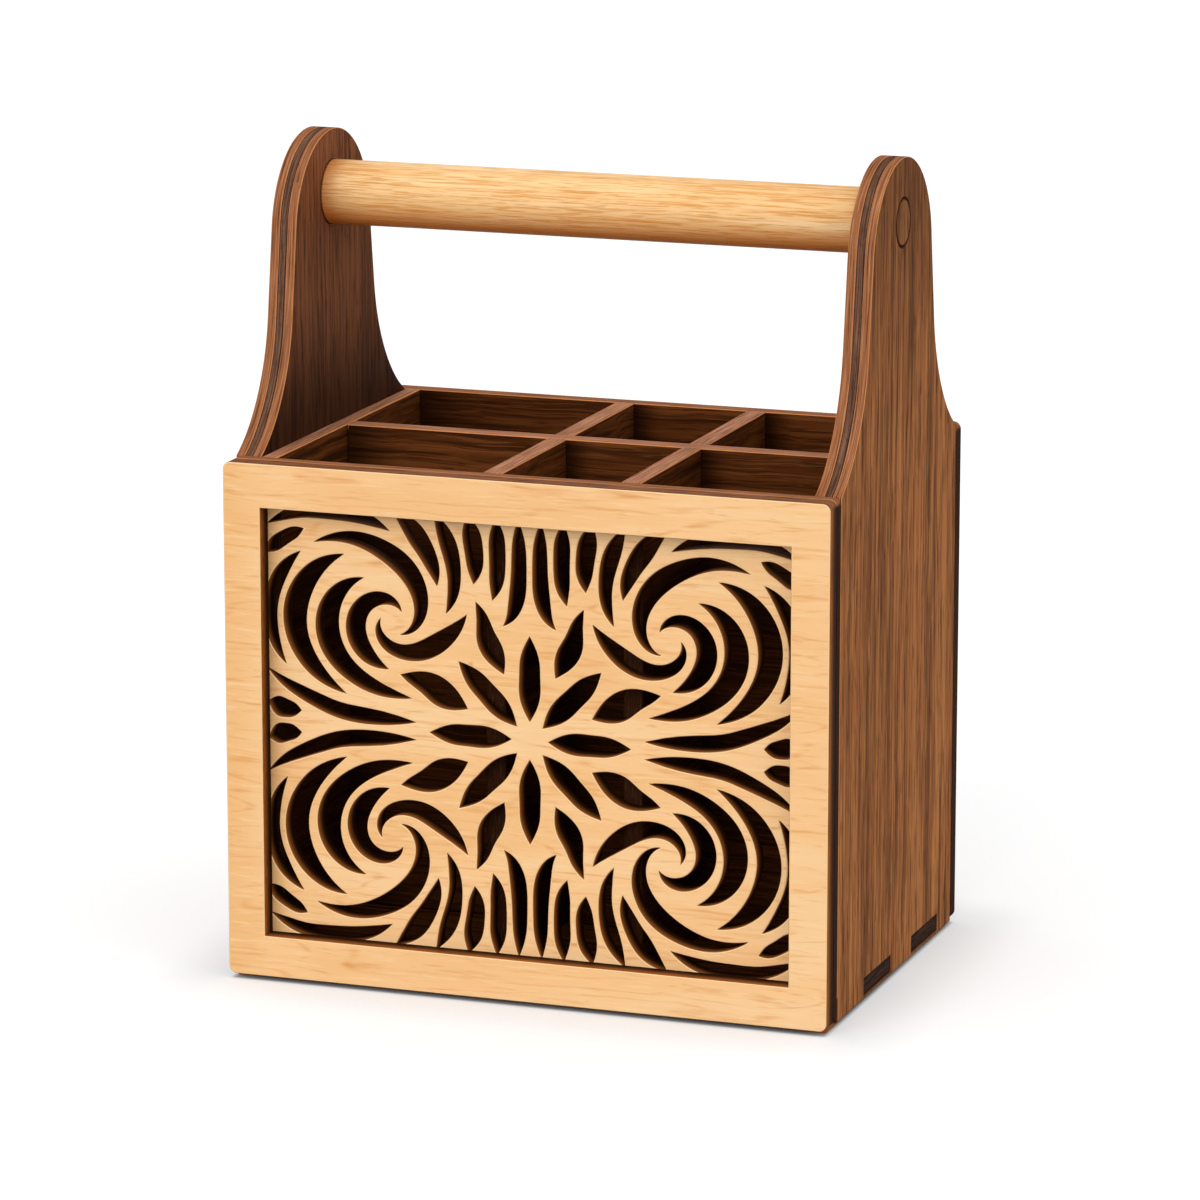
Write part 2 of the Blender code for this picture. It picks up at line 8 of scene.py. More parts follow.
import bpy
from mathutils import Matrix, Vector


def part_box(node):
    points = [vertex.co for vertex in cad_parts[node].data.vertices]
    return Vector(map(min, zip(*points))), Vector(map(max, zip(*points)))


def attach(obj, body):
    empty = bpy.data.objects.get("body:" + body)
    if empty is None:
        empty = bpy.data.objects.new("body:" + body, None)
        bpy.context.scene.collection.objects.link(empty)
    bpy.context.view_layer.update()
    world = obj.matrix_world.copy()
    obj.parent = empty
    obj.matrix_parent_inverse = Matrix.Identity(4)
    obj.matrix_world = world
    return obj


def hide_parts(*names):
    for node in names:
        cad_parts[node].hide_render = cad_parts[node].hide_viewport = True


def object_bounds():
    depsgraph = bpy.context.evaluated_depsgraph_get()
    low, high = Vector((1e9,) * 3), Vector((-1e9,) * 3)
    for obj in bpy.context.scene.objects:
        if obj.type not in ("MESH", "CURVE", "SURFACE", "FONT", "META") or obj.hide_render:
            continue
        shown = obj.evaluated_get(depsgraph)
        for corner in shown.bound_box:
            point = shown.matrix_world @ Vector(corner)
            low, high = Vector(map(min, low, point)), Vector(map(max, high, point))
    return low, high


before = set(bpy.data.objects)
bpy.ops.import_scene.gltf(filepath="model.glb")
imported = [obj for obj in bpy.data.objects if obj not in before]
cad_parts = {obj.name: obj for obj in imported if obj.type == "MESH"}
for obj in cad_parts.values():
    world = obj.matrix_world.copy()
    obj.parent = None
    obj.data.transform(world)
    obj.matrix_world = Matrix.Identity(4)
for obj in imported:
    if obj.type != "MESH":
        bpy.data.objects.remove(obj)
CAD_BOX = [list(corner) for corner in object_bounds()]

import math

import bmesh
import bpy
import numpy as np
from bpy.props import FloatProperty, FloatVectorProperty, IntProperty, PointerProperty
from mathutils import Matrix, Vector

bl_info = {
    "name": "Wooden Organizer Caddy",
    "version": (1, 0, 0),
    "blender": (4, 5, 0),
    "location": "3D View > Sidebar > Caddy",
    "description": "Saws, turns and finishes the pieces of a wooden organizer caddy",
    "category": "Object",
}

BODY = "root"
X, Y, Z = 0, 1, 2

# Reading the solids
SAME_PLACE = 1e-6  # corners closer than this are one corner
SAME_LEVEL = 2e-5  # corners whose heights differ by less lie on one level
WALL_NORMAL = 0.99  # a face that looks along the thickness by less is a wall
CORNER_TURN = math.radians(58.0)  # a sharper turn of an outline is a real corner
STRAIGHT_RATIO = 3.5  # a side this much longer than the next one is straight
LONGEST_MITRE = 2.0  # most that a point moves while its sides move one unit
SMOOTH_ANGLE = math.radians(30.0)  # a sharper edge stays sharp
SHANK_RADIUS = 0.25  # of a screw, as a share of its head's width
SEAT_DEPTH = 0.0035  # how far the dowel's ends sit in the inner plies

# How far a place lies into a sawn edge, as the attribute "cut" says
ON_FACE, AT_TURN, ON_WALL = 0.0, 0.5, 1.0

# Each flat board: the axis across its thickness, the axis its grain follows and its finish
BOARDS = {
    "front_frame": (Y, X, "maple"),
    "fretwork_panel": (Y, X, "maple"),
    "front_wall": (Y, X, "walnut_edge"),
    "back_panel": (Y, X, "walnut"),
    "side_outer_left": (X, Z, "walnut"),
    "side_outer_right": (X, Z, "walnut"),
    "side_core_left": (X, Y, "ply_core"),
    "side_core_right": (X, Y, "ply_core"),
    "side_inner_left": (X, Z, "walnut"),
    "side_inner_right": (X, Z, "walnut"),
    "bottom_panel": (Z, X, "end_grain"),
    "row_divider": (Y, X, "walnut_interior"),
    "cross_divider_1": (X, Y, "walnut_interior"),
    "cross_divider_2": (X, Y, "walnut_interior"),
    "end_liner": (X, Y, "walnut_interior"),
}
SIDES = ("left", "right")
FEET = ("foot_front_left", "foot_front_right", "foot_rear_left", "foot_rear_right")

# Tones: wood, light streaks, dark bands, pores, edges, and light and dark lines in the edges
EDGE_TONES = ("edge", "edge_light", "edge_dark")
WALNUT_TONES = ("walnut", "walnut_light", "walnut_dark", "walnut_pore_and_shade", *EDGE_TONES)
INNER_TONES = ("inner", "inner_light", "inner_dark", "walnut_pore_and_shade", *EDGE_TONES)
INSIDE_TONES = ("inside", "inside_light", "inside_dark", "inside_dark",
                "divider", "divider_light", "divider_dark")

# Grain: the length and width of a streak, and the detail and roughness of its noise
MAPLE_GRAIN = {
    "bands": (0.16, 0.020, 2.0, 0.5),
    "streaks": (0.028, 0.0019, 3.0, 0.6),
    "flecks": (0.009, 0.0007, 2.0, 0.6),
    "figure": (0.11, 0.014, 1.0, 0.5),
}
WALNUT_GRAIN = {
    "bands": (0.30, 0.013, 2.0, 0.5),
    "streaks": (0.120, 0.0030, 3.0, 0.6),
    "fibres": (0.052, 0.0010, 2.0, 0.5),
    "pores": (0.019, 0.00065, 1.5, 0.5),
    "figure": (0.34, 0.024, 1.0, 0.4),
}
OAK_GRAIN = {
    "bands": (0.12, 0.006, 2.0, 0.5),
    "streaks": (0.046, 0.0010, 3.0, 0.6),
    "pores": (0.015, 0.00052, 2.0, 0.5),
}
BOTTOM_STREAKS = (0.060, 0.0016, 3.0, 0.6)
CORE_STREAKS = (0.06, 0.003, 2.0, 0.5)
SIDE_COARSENESS = 1.25  # the sides' grain against that of the other boards

# Bends of the grain: their spacing and reach
MAPLE_BEND = (0.03, 0.0022)
WALNUT_BEND = (0.040, 0.0034)
OAK_BEND = (0.05, 0.0020)

# Lines in sawn edges and on the screws: their length and width
EDGE_LINES = {
    "scorch": (0.020, 0.0008),
    "plies": (0.026, 0.0006),
    "hairs": (0.012, 0.0003),
    "end layers": (0.020, 0.0007),
    "core layers": (0.022, 0.00045),
    "turning marks": (0.01, 0.0003),
}

# Sizes of specks and depths of relief
END_SPECKS = 0.00055
CORE_SPECKS = 0.0007
GLUE_BUBBLES = 0.0011
OPEN_GRAIN = 0.00008
FINE_GRAIN = 0.00006
POLISHED = 0.00003

# Where the noises start, and how much further on for each next one of several pieces
BOARD_SEEDS = (1.0, 7.0)
PLUG_SEEDS = (60.0, 9.0)
FOOT_SEEDS = (80.0, 1.0)
DOWEL_SEED = 3.0
SCREW_SEED = 2.0
SEED_SHIFT = (3.7, 1.9, 5.3)  # how one unit of the start moves the grain
KNOT_SHIFT = (1.0, 0.6, 0.3)  # and the knots

# Where tones change over a piece: pairs give where a change starts and where it is full
KNOT_SPACING = 0.034
SHADED_LEFT_END = 0.82  # painted shade: the face wood turns warmer and darker from this share of the way to its left end
WALL_SHADE_DEPTH = 0.75  # share of its thickness over which painted shade turns its walls dark
FACE_CHANGE = 0.0001  # half the way from a panel's outer tones to its inner ones
UPPER_EDGE = (0.003, 0.001)  # below the rim
BAY_DARKER = (0.002, 0.060)  # below the rim
BAY_LIGHTER = (0.050, 0.110)  # below the rim, lighter again
CORNER_SHADES = {"end_liner": 0.026, "cross_divider_1": 0.013, "cross_divider_2": 0.013}
CORNER_FADE = 0.006  # behind the neighbour's face
EAR_SHADE = 0.52  # share of an ear's height over which painted shade darkens its inner face
LOW_EDGE_SHADE = (0.0105, 0.0085)  # above a board's foot, where painted shade darkens its edges
RING_LINE = (0.0009, 0.0005)  # from the ring's radius
SHADED_UNDERSIDE = 0.54  # share of the dowel's height with painted shade, warmer and darker underneath
SEAT_SHADE = 0.009  # length of the dowel with painted shade beside a seat
SEAT_LINE = 0.0007  # and of the scorched line there

# The stage: a lamp has the direction it shines from and how wide it looks
AIM = (0.0043, -0.00985, 0.1420)
KEY_LAMP = ((-0.20, -0.90, 0.38), math.radians(55.0))
FILL_LAMP = ((0.80, -0.45, 0.55), math.radians(60.0))
SEEN_RAYS = ("Is Camera Ray", "Is Glossy Ray", "Is Transmission Ray")
WHITE = (1.0, 1.0, 1.0, 1.0)
FLOOR_REACH = 30.0
FLOOR_SEEN = (0.60, 0.60, 0.60, 1.0)  # the floor's colour where it is seen
FLOOR_BOUNCE = (0.42, 0.42, 0.42, 1.0)  # and for the light that it throws back
FLOOR_GLOW = 0.50  # turns it white where it is seen
FLOOR_GLOW_NEAR = 0.36  # weaker beside the box, a painted shadow
FLOOR_GLOW_WAY = 0.040  # how far out it is full
CONTACT_INSET = 0.0022  # the glow ends this far under the box
CONTACT_WAY = 0.0028  # and rises over this way


def daylight(red, green, blue):
    """The linear value of a colour given as it looks in daylight, from 0 to 255."""
    shares = [channel / 255 for channel in (red, green, blue)]
    return [share / 12.92 if share <= 0.04045 else ((share + 0.055) / 1.055) ** 2.4 for share in shares]


def tint(name, description, red, green, blue):
    """A colour that the user may change."""
    return FloatVectorProperty(name=name, description=description, subtype="COLOR", size=3,
                               min=0.0, max=1.0, default=daylight(red, green, blue))


def measure(name, description, default):
    """A length that the user may change."""
    return FloatProperty(name=name, description=description, unit="LENGTH", subtype="DISTANCE",
                         precision=5, min=0.0, default=default)


class CaddySizes(bpy.types.PropertyGroup):
    """Sizes of what is added to the solids."""

    eased_edge: measure("Eased edge", "Small chamfer along the boards' edges", 0.00035)
    fretwork_edge: measure("Fretwork edge", "Chamfer along the fretwork's voids", 0.00042)
    ply_edge: measure("Ply edge", "Chamfer along each ply of a side", 0.00025)
    scorched_band: measure("Scorched band", "Width of the darkened line beside a cut", 0.00035)
    glue_set_back: measure("Glue set back", "How far a glue line lies inside the edge", 0.0005)
    glue_clearance: measure("Glue clearance", "Air on each side of a glue line", 0.00002)
    finest_turn: FloatProperty(name="Finest turn", description="Most that one facet of a curve turns",
                               subtype="ANGLE", min=0.01, max=0.5, default=math.radians(4.0))
    round_sides: IntProperty(name="Round sides", description="Facets round a turned piece",
                             min=24, max=256, default=128)


class CaddyColours(bpy.types.PropertyGroup):
    """Colours of the woods, the glue and the screws as they look in daylight."""

    maple: tint("Maple", "Main tone of the pale face wood", 247, 198, 142)
    maple_pale: tint("Pale maple", "Palest bands of the face wood", 250, 212, 162)
    maple_warm: tint("Warm maple", "Warmest bands of the face wood", 240, 186, 125)
    maple_streak: tint("Maple streak", "Fine streaks and knots of the face wood", 218, 143, 73)
    # Painted highlight: a bright line along the face wood's eased edges.
    maple_rim_highlight: tint("Maple rim", "Bright line along the face wood's eased edges", 252, 218, 164)
    scorched: tint("Scorched", "Scorched walls near the face", 176, 104, 48)
    # Dark burn, also used as painted shade on walls away from the face.
    deep_scorch_and_shade: tint("Deep scorch", "Scorched walls away from the face", 44, 22, 9)
    walnut: tint("Walnut", "Main tone of the veneer", 168, 105, 62)
    walnut_light: tint("Light walnut", "Lightest streaks of the veneer", 200, 135, 80)
    walnut_dark: tint("Dark walnut", "Broad darker bands of the veneer", 120, 75, 45)
    # Pores and dark lines, also used as painted shade towards the ears' tops.
    walnut_pore_and_shade: tint("Walnut pore", "Pores and dark lines of the veneer", 60, 34, 20)
    inner: tint("Inner face", "Main tone of the sides' inner faces", 130, 80, 51)
    inner_light: tint("Light inner face", "Light streaks of the inner faces", 150, 95, 62)
    inner_dark: tint("Dark inner face", "Dark bands of the inner faces", 96, 58, 38)
    edge: tint("Board edge", "Sanded edges of the veneered plies", 154, 98, 64)
    edge_light: tint("Light edge", "Light lines in the sanded edges", 202, 144, 102)
    edge_dark: tint("Dark edge", "Dark lines in the sanded edges", 82, 48, 31)
    # Painted highlight: a bright line along the brown boards' eased edges.
    rim: tint("Rim", "Bright line along the brown boards' eased edges", 214, 140, 84)
    # Partly burnt cut, partly painted shade: upright and low edges, darker than the upper edges in the
    # light.
    charred_and_shaded: tint("Charred edge", "Upright edges of the front and back boards", 50, 27, 14)
    core: tint("Core ply", "Grey-brown core ply", 112, 78, 60)
    core_light: tint("Light core", "Light lines in the core ply", 146, 108, 84)
    core_dark: tint("Dark core", "Dark lines in the core ply", 68, 46, 36)
    inside: tint("Inside", "Main tone of the oiled inside", 96, 51, 22)
    inside_light: tint("Light inside", "Light streaks of the inside", 126, 72, 35)
    inside_dark: tint("Dark inside", "Dark streaks of the inside", 58, 29, 11)
    # Painted shade: the dark of the bays' walls and of the ears' inner faces low down.
    inside_pore: tint("Inside pore", "Pores and dark lines of the inside", 30, 13, 5)
    divider: tint("Divider edge", "Upper edges of the dividers", 182, 124, 92)
    divider_light: tint("Light divider edge", "Light lines in the dividers' edges", 226, 172, 134)
    divider_dark: tint("Dark divider edge", "Dark lines in the dividers' edges", 110, 68, 48)
    oak: tint("Oak", "Main tone of the dowel", 243, 195, 135)
    oak_pale: tint("Pale oak", "Palest bands of the dowel", 250, 211, 156)
    oak_streak: tint("Oak streak", "Pores and streaks of the dowel", 216, 142, 58)
    # Painted shade on the dowel's underside and beside its seats.
    oak_painted_shade: tint("Dowel underside", "Warm tone of the dowel's underside", 214, 120, 38)
    tab: tint("Tab end", "Scorched ends of the bottom panel's tabs", 72, 50, 40)
    tab_dark: tint("Dark tab", "Dark layers in the tab ends", 32, 20, 15)
    glue: tint("Glue", "Glue lines between the plies", 30, 18, 12)
    steel: tint("Steel", "Screws under the plugs", 170, 170, 174)
    steel_dark: tint("Dark steel", "Turning marks on the screws", 137, 137, 139)


class CaddyStage(bpy.types.PropertyGroup):
    """Camera and light."""

    lens: FloatProperty(name="Lens", description="Focal length in millimetres", default=180.0)
    distance: measure("Distance", "From the camera to the point it looks at", 2.3010)
    turn: FloatProperty(name="Turn", description="Camera's turn to the right of the front",
                        subtype="ANGLE", default=math.radians(19.57))
    lift: FloatProperty(name="Lift", description="Camera's height above the horizon",
                        subtype="ANGLE", default=math.radians(12.60))
    key_strength: FloatProperty(name="Key", description="Strength of the upper left lamp", default=1.3)
    fill_strength: FloatProperty(name="Fill", description="Strength of the right lamp", default=0.45)
    sky_strength: FloatProperty(name="Sky", description="Strength of the even light", default=0.78)


class Wire:
    """The output of a node, which takes part in sums as a number does."""

    def __init__(self, nodes, socket):
        self.nodes = nodes
        self.socket = socket

    def worked(self, operation, *values):
        """One Math node on these values."""
        return self.nodes.add("ShaderNodeMath", {"operation": operation}, dict(enumerate(values)))

    def __add__(self, other):
        return self.worked("ADD", self, other)

    __radd__ = __add__

    def __sub__(self, other):
        return self.worked("SUBTRACT", self, other)

    def __rsub__(self, other):
        return self.worked("SUBTRACT", other, self)

    def __mul__(self, other):
        return self.worked("MULTIPLY", self, other)

    __rmul__ = __mul__

    def __abs__(self):
        return self.worked("ABSOLUTE", self)

    def larger(self, other):
        """The larger of the two."""
        return self.worked("MAXIMUM", self, other)

    def between(self, low, high):
        """0 at low, 1 at high and smooth in between."""
        return self.nodes.add("ShaderNodeMapRange", {"interpolation_type": "SMOOTHSTEP"},
                              {"Value": self, "From Min": low, "From Max": high})

    def zigzag(self, turns):
        """0 to 1 and back again, this many times as the value goes from 0 to 1."""
        return self.worked("PINGPONG", self * turns, 0.5) * 2.0


class Nodes:
    """A node tree that is filled one node at a time."""

    def __init__(self, tree):
        self.tree = tree

    def add(self, kind, settings=None, sockets=None, output=0):
        """One node: its type, its settings, and the values or links of its sockets."""
        node = self.tree.nodes.new(kind)
        for key, value in (settings or {}).items():
            setattr(node, key, value)
        for key, value in (sockets or {}).items():
            if isinstance(value, Wire):
                self.tree.links.new(value.socket, node.inputs[key])
            else:
                node.inputs[key].default_value = value
        return Wire(self, node.outputs[output])

    def vector(self, operation, *values, output=0):
        """One Vector Math node."""
        return self.add("ShaderNodeVectorMath", {"operation": operation}, dict(enumerate(values)), output)


class Finish(Nodes):
    """A wood or metal finish in the making."""

    def __init__(self, name):
        self.material = bpy.data.materials.new(name)
        self.material.use_nodes = True
        super().__init__(self.material.node_tree)
        self.tree.nodes.clear()
        self.place = self.add("ShaderNodeTexCoord", output="Object")

    def tone(self, colour):
        """One of the caddy's colours by its name, or a colour that is already worked out."""
        if isinstance(colour, str):
            return (*getattr(bpy.context.scene.caddy_colours, colour), 1.0)
        return colour

    def mix(self, first, second, share):
        """Go from the first colour to the second."""
        sockets = {0: share, 6: self.tone(first), 7: self.tone(second)}
        return self.add("ShaderNodeMix", {"data_type": "RGBA"}, sockets, 2)

    def layered(self, colour, *layers):
        """Lay colours over the first one, each with its share."""
        for layer, share in layers:
            colour = self.mix(colour, layer, share)
        return colour

    def part(self, axis):
        """One part of the place on the piece."""
        return self.add("ShaderNodeSeparateXYZ", None, {0: self.place}, axis)

    def below(self, level, depths):
        """0 at the first depth below a level and 1 at the second."""
        start, full = depths
        return self.part(Z).between(level - start, level - full)

    def noise(self, place, scale, detail, roughness=0.5, output=0):
        """Soft noise at these places."""
        sockets = {"Vector": place, "Scale": scale, "Detail": detail, "Roughness": roughness}
        return self.add("ShaderNodeTexNoise", None, sockets, output)

    def bend(self, spacing, reach):
        """Places on the piece, bent a little, so that grain lines wander."""
        noise = self.noise(self.place, 1 / spacing, 2.0, output="Color")
        offset = self.vector("MULTIPLY_ADD", noise, (reach,) * 3, (-reach / 2,) * 3)
        return self.vector("ADD", self.place, offset)

    def grain(self, layer, along, seed, place=None, coarse=1.0):
        """Noise drawn out along the grain, from the sizes of one layer."""
        length, width, detail, roughness = layer
        scale = [1 / (width * coarse)] * 3
        scale[along] = 1 / length
        shift = [seed * part for part in SEED_SHIFT]
        drawn_out = self.vector("MULTIPLY_ADD", place or self.place, scale, shift)
        return self.noise(drawn_out, 1.0, detail, roughness)

    def grains(self, layers, along, seed, place, coarse=1.0):
        """One noise for each layer of a wood's grain."""
        return [self.grain(layer, along, seed + number, place, coarse)
                for number, layer in enumerate(layers.values())]

    def knots(self, place, across, seed):
        """How far a place lies from the next knot, as a share of their spacing."""
        scale = [1 / KNOT_SPACING] * 3
        scale[across] = 0.0
        vector = self.vector("MULTIPLY_ADD", place, scale, [seed * part for part in KNOT_SHIFT])
        return self.add("ShaderNodeTexVoronoi", None, {"Vector": vector, "Scale": 1.0}, "Distance")

    def edge_grain(self, across, lines, seed):
        """Noise in thin lines that run along the sawn walls of a board."""
        length, width = EDGE_LINES[lines]
        run = self.add("ShaderNodeAttribute", {"attribute_name": "run"}, None, "Fac")
        drawn_out = self.add("ShaderNodeCombineXYZ", None,
                             {0: run * (1 / length), 1: self.part(across) * (1 / width), 2: seed})
        return self.noise(drawn_out, 1.0, 3.0, 0.6)

    def specks(self, size):
        """Even noise with specks of about this size."""
        return self.noise(self.place, 1 / size, 2.0)

    def cut(self):
        """0 on a board's face, 0.5 where its edge starts to turn and 1 on its sawn walls."""
        return self.add("ShaderNodeAttribute", {"attribute_name": "cut"}, None, "Fac")

    def at_rim(self):
        """1 on the upper edge of the front and back boards, 0 below it."""
        return self.below(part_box("front_frame")[1].z, UPPER_EDGE)

    def shade(self, colour, roughness, height, depth, **constants):
        """Close the finish with its shader, whose relief has this depth."""
        relief = self.add("ShaderNodeBump", None, {"Height": height, "Distance": depth})
        sockets = {"Base Color": colour, "Roughness": roughness, "Normal": relief}
        for name, value in constants.items():
            sockets[name.replace("_", " ")] = value
        self.add_output(self.add("ShaderNodeBsdfPrincipled", None, sockets))
        return self.material

    def add_output(self, shader):
        """Send the shader to the surface."""
        node = self.tree.nodes.new("ShaderNodeOutputMaterial")
        self.tree.links.new(shader.socket, node.inputs["Surface"])


def round_size(node):
    """The middle and the radius of a round CAD node that lies along X."""
    low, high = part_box(node)
    return (low + high) / 2, (high.z - low.z) / 2


def seed_of(seeds, number):
    """Where the noise of one of several like pieces starts."""
    first, step = seeds
    return first + step * number


def maple_finish(name, across, along, seed):
    """Pale face wood with orange streaks, painted shade at its left end, a painted highlight on its eased
    edges, and scorched walls that painted shade darkens away from the face.
    """
    finish = Finish(name)
    bent = finish.bend(*MAPLE_BEND)
    bands, streaks, flecks, figure = finish.grains(MAPLE_GRAIN, along, seed, bent)
    lines = figure.zigzag(8.0).between(0.70, 1.0) * streaks.between(0.38, 0.60)
    low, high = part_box(name)
    colour = finish.layered(
        "maple",
        ("maple_pale", bands.between(0.46, 0.62) * 0.50),
        ("maple_warm", bands.between(0.50, 0.34) * 0.50),
        # painted shade towards the left end
        ("maple_warm", finish.part(X).between(low.x * SHADED_LEFT_END, low.x) * 0.85),
        ("maple_streak", lines * 0.38),
        ("maple_streak", streaks.between(0.56, 0.74) * 0.50),
        ("maple_pale", streaks.between(0.46, 0.32) * 0.55),
        ("maple_streak", flecks.between(0.60, 0.78) * 0.32),
        ("maple_streak", finish.knots(bent, across, seed).between(0.055, 0.02) * 0.75),
    )
    face, rear = low[across], high[across]
    # Painted shade: the walls turn dark away from the face, where less light reaches.
    painted_wall_shade = finish.part(across).between(face, face + (rear - face) * WALL_SHADE_DEPTH)
    char = finish.edge_grain(across, "scorch", seed)
    # The upper edge, in the light, keeps the paler edge tones instead of the walls' painted shade.
    wall = finish.layered(
        "scorched",
        ("deep_scorch_and_shade", painted_wall_shade),
        ("deep_scorch_and_shade", char.between(0.45, 0.70) * 0.6),
        (finish.mix("edge", "edge_dark", char.between(0.40, 0.62)), finish.at_rim()),
    )
    cut = finish.cut()
    colour = finish.layered(
        colour,
        ("maple_warm", cut.between(0.02, 0.30) * 0.6),
        # painted highlight on the eased edges, turning to painted shade away from the face
        (finish.mix("maple_rim_highlight", "deep_scorch_and_shade", painted_wall_shade), cut.between(0.28, 0.50)),
        (wall, cut.between(0.68, 0.92)),
    )
    roughness = 0.44 + 0.12 * flecks + 0.2 * cut.between(0.8, 1.0)
    height = flecks * -0.5 + streaks * -0.3
    return finish.shade(colour, roughness, height, FINE_GRAIN, Specular_IOR_Level=0.04)


def veneer(finish, along, seed, coarse, tones):
    """The colour of a veneered face, and the fibres and short dark pores in it."""
    wood, light, dark, pore = tones
    bent = finish.bend(*WALNUT_BEND)
    bands, streaks, fibres, pores, figure = finish.grains(WALNUT_GRAIN, along, seed, bent, coarse)
    lines = figure.zigzag(7.0).between(0.82, 1.0) * fibres.between(0.35, 0.6)
    dashes = pores.between(0.59, 0.66)
    colour = finish.layered(
        wood,
        (dark, bands.between(0.50, 0.66) * 0.75),
        (light, bands.between(0.48, 0.34) * 0.45),
        (light, streaks.between(0.52, 0.66) * 0.60),
        (dark, streaks.between(0.48, 0.35) * 0.85),
        (pore, lines * 0.45),
        (light, fibres.between(0.54, 0.62) * 0.50),
        (pore, fibres.between(0.44, 0.34) * 0.60),
        (pore, dashes * 0.60),
    )
    return colour, fibres, dashes


def bay_shades(finish, across, rim):
    """Where a wall of the bays gets painted shade: below the rim, and beside the liner and the dividers.
    """
    shades = [finish.below(rim, BAY_DARKER) * 0.80 - finish.below(rim, BAY_LIGHTER) * 0.50]
    if across == Y:
        place = finish.part(X)
        for neighbour, reach in CORNER_SHADES.items():
            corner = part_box(neighbour)[1].x
            beside = place.between(corner + reach, corner) * place.between(corner - CORNER_FADE, corner)
            shades.append(beside * 0.80)
    return shades


def ring_line(finish, across, centre, radius):
    """1 on a thin circle on a side's outer face, 0 beside it."""
    flat = [1.0] * 3
    flat[across] = 0.0
    shift = [-part * share for part, share in zip(centre, flat)]
    offset = finish.vector("MULTIPLY_ADD", finish.place, flat, shift)
    return abs(finish.vector("LENGTH", offset, output="Value") - radius).between(*RING_LINE)


def walnut_finish(name, across, along, seed, tones, coarse=1.0, panel=None, ring=None):
    """Brown veneer with darker bands, fine streaks and short dark pores, and layered edges.

    A panel, front or back, is given as the level of its middle and which way the inside of the
    box lies: it has the bays' tones and painted shade there, and its edges are dark below the
    rim, partly burnt and partly painted shade.  A ring is the middle and the radius of a scorched
    circle on a side's outer face, which also gets painted shade towards the ear's top.
    """
    finish = Finish(name)
    *face_tones, edge, edge_light, edge_dark = tones
    if panel:
        middle, inwards = panel
        change = inwards * FACE_CHANGE
        within = finish.part(across).between(middle - change, middle + change)
        face_tones = [finish.mix(outer, inner, within) for outer, inner in zip(face_tones, INSIDE_TONES)]
    colour, fibres, dashes = veneer(finish, along, seed, coarse, face_tones)
    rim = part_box("row_divider")[1].z
    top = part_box("side_outer_right")[1].z
    beside_bays = panel or tones is INSIDE_TONES
    if beside_bays:
        # Painted shade on the walls of the bays, deep below the rim and in their corners.
        for shade in bay_shades(finish, across, rim):
            colour = finish.mix(colour, "inside_pore", shade * within if panel else shade)
    # Painted shade on the lower part of the ears' inner faces.
    if tones is INNER_TONES:
        low_ear = finish.part(Z).between(rim + (top - rim) * EAR_SHADE, rim)
        colour = finish.mix(colour, "inside_pore", low_ear * 0.80)
    # Painted shade: the outer face darkens towards the ear's top.
    if ring:
        colour = finish.mix(colour, "walnut_pore_and_shade", finish.part(Z).between(rim, top) * 0.50)
    plies = finish.edge_grain(across, "plies", seed + 5)
    hairs = finish.edge_grain(across, "hairs", seed + 6)
    wall = finish.layered(
        edge,
        (edge_dark, plies.between(0.50, 0.66) * 0.85),
        (edge_light, plies.between(0.48, 0.34) * 0.60),
        (edge_dark, hairs.between(0.55, 0.70) * 0.45),
    )
    # Painted highlight along the eased edges; below the rim of the boards beside the bays it turns to the
    # dark edge tone.
    edge_highlight_and_shade = "rim"
    # Painted shade: below the rim, the edges of the boards beside the bays turn dark, partly burnt, while
    # upper edges keep their tones.
    if beside_bays:
        char = finish.mix("charred_and_shaded", edge_dark, plies.between(0.5, 0.7) * 0.35)
        wall = finish.mix(char, wall, finish.at_rim())
        edge_highlight_and_shade = finish.mix(char, edge_highlight_and_shade, finish.at_rim())
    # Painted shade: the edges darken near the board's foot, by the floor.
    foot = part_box(name)[0].z
    foot_shade = finish.part(Z).between(*(foot + height for height in LOW_EDGE_SHADE)) * 0.85
    cut = finish.cut()
    colour = finish.layered(
        colour,
        (face_tones[-1], cut.between(0.02, 0.30) * 0.60),
        (finish.mix(edge_highlight_and_shade, "charred_and_shaded", foot_shade), cut.between(0.34, 0.52)),
        (finish.mix(wall, "charred_and_shaded", foot_shade), cut.between(0.84, 0.99)),
    )
    if ring:
        colour = finish.mix(colour, "deep_scorch_and_shade", ring_line(finish, across, *ring) * 0.92)
    roughness = 0.52 + 0.16 * fibres + 0.12 * dashes
    height = dashes * -0.8 + fibres * 0.4
    return finish.shade(colour, roughness, height, OPEN_GRAIN, Specular_IOR_Level=0.01)


def end_finish(name, across, seed, tones, flat=None):
    """Layers seen from their ends, darker at the turn, and two other tones on a flat face."""
    finish = Finish(name)
    wood, dark = tones
    plies = finish.edge_grain(across, "end layers", seed)
    specks = finish.specks(END_SPECKS)
    cut = finish.cut()
    turn = cut.between(0.3, 0.55) * (1.0 - cut.between(0.6, 0.95))
    colour = finish.layered(
        wood,
        (dark, plies.between(0.42, 0.58) * 0.85),
        (dark, specks.between(0.50, 0.72) * 0.5),
        (dark, turn * 0.8),
    )
    if flat:
        streaks = finish.grain(BOTTOM_STREAKS, X, seed + 1)
        face = finish.mix(*flat, streaks.between(0.40, 0.62))
        colour = finish.mix(face, colour, cut.between(0.02, 0.30))
    height = plies + specks * 0.5
    return finish.shade(colour, 0.55 + 0.2 * specks, height, OPEN_GRAIN, Specular_IOR_Level=0.01)


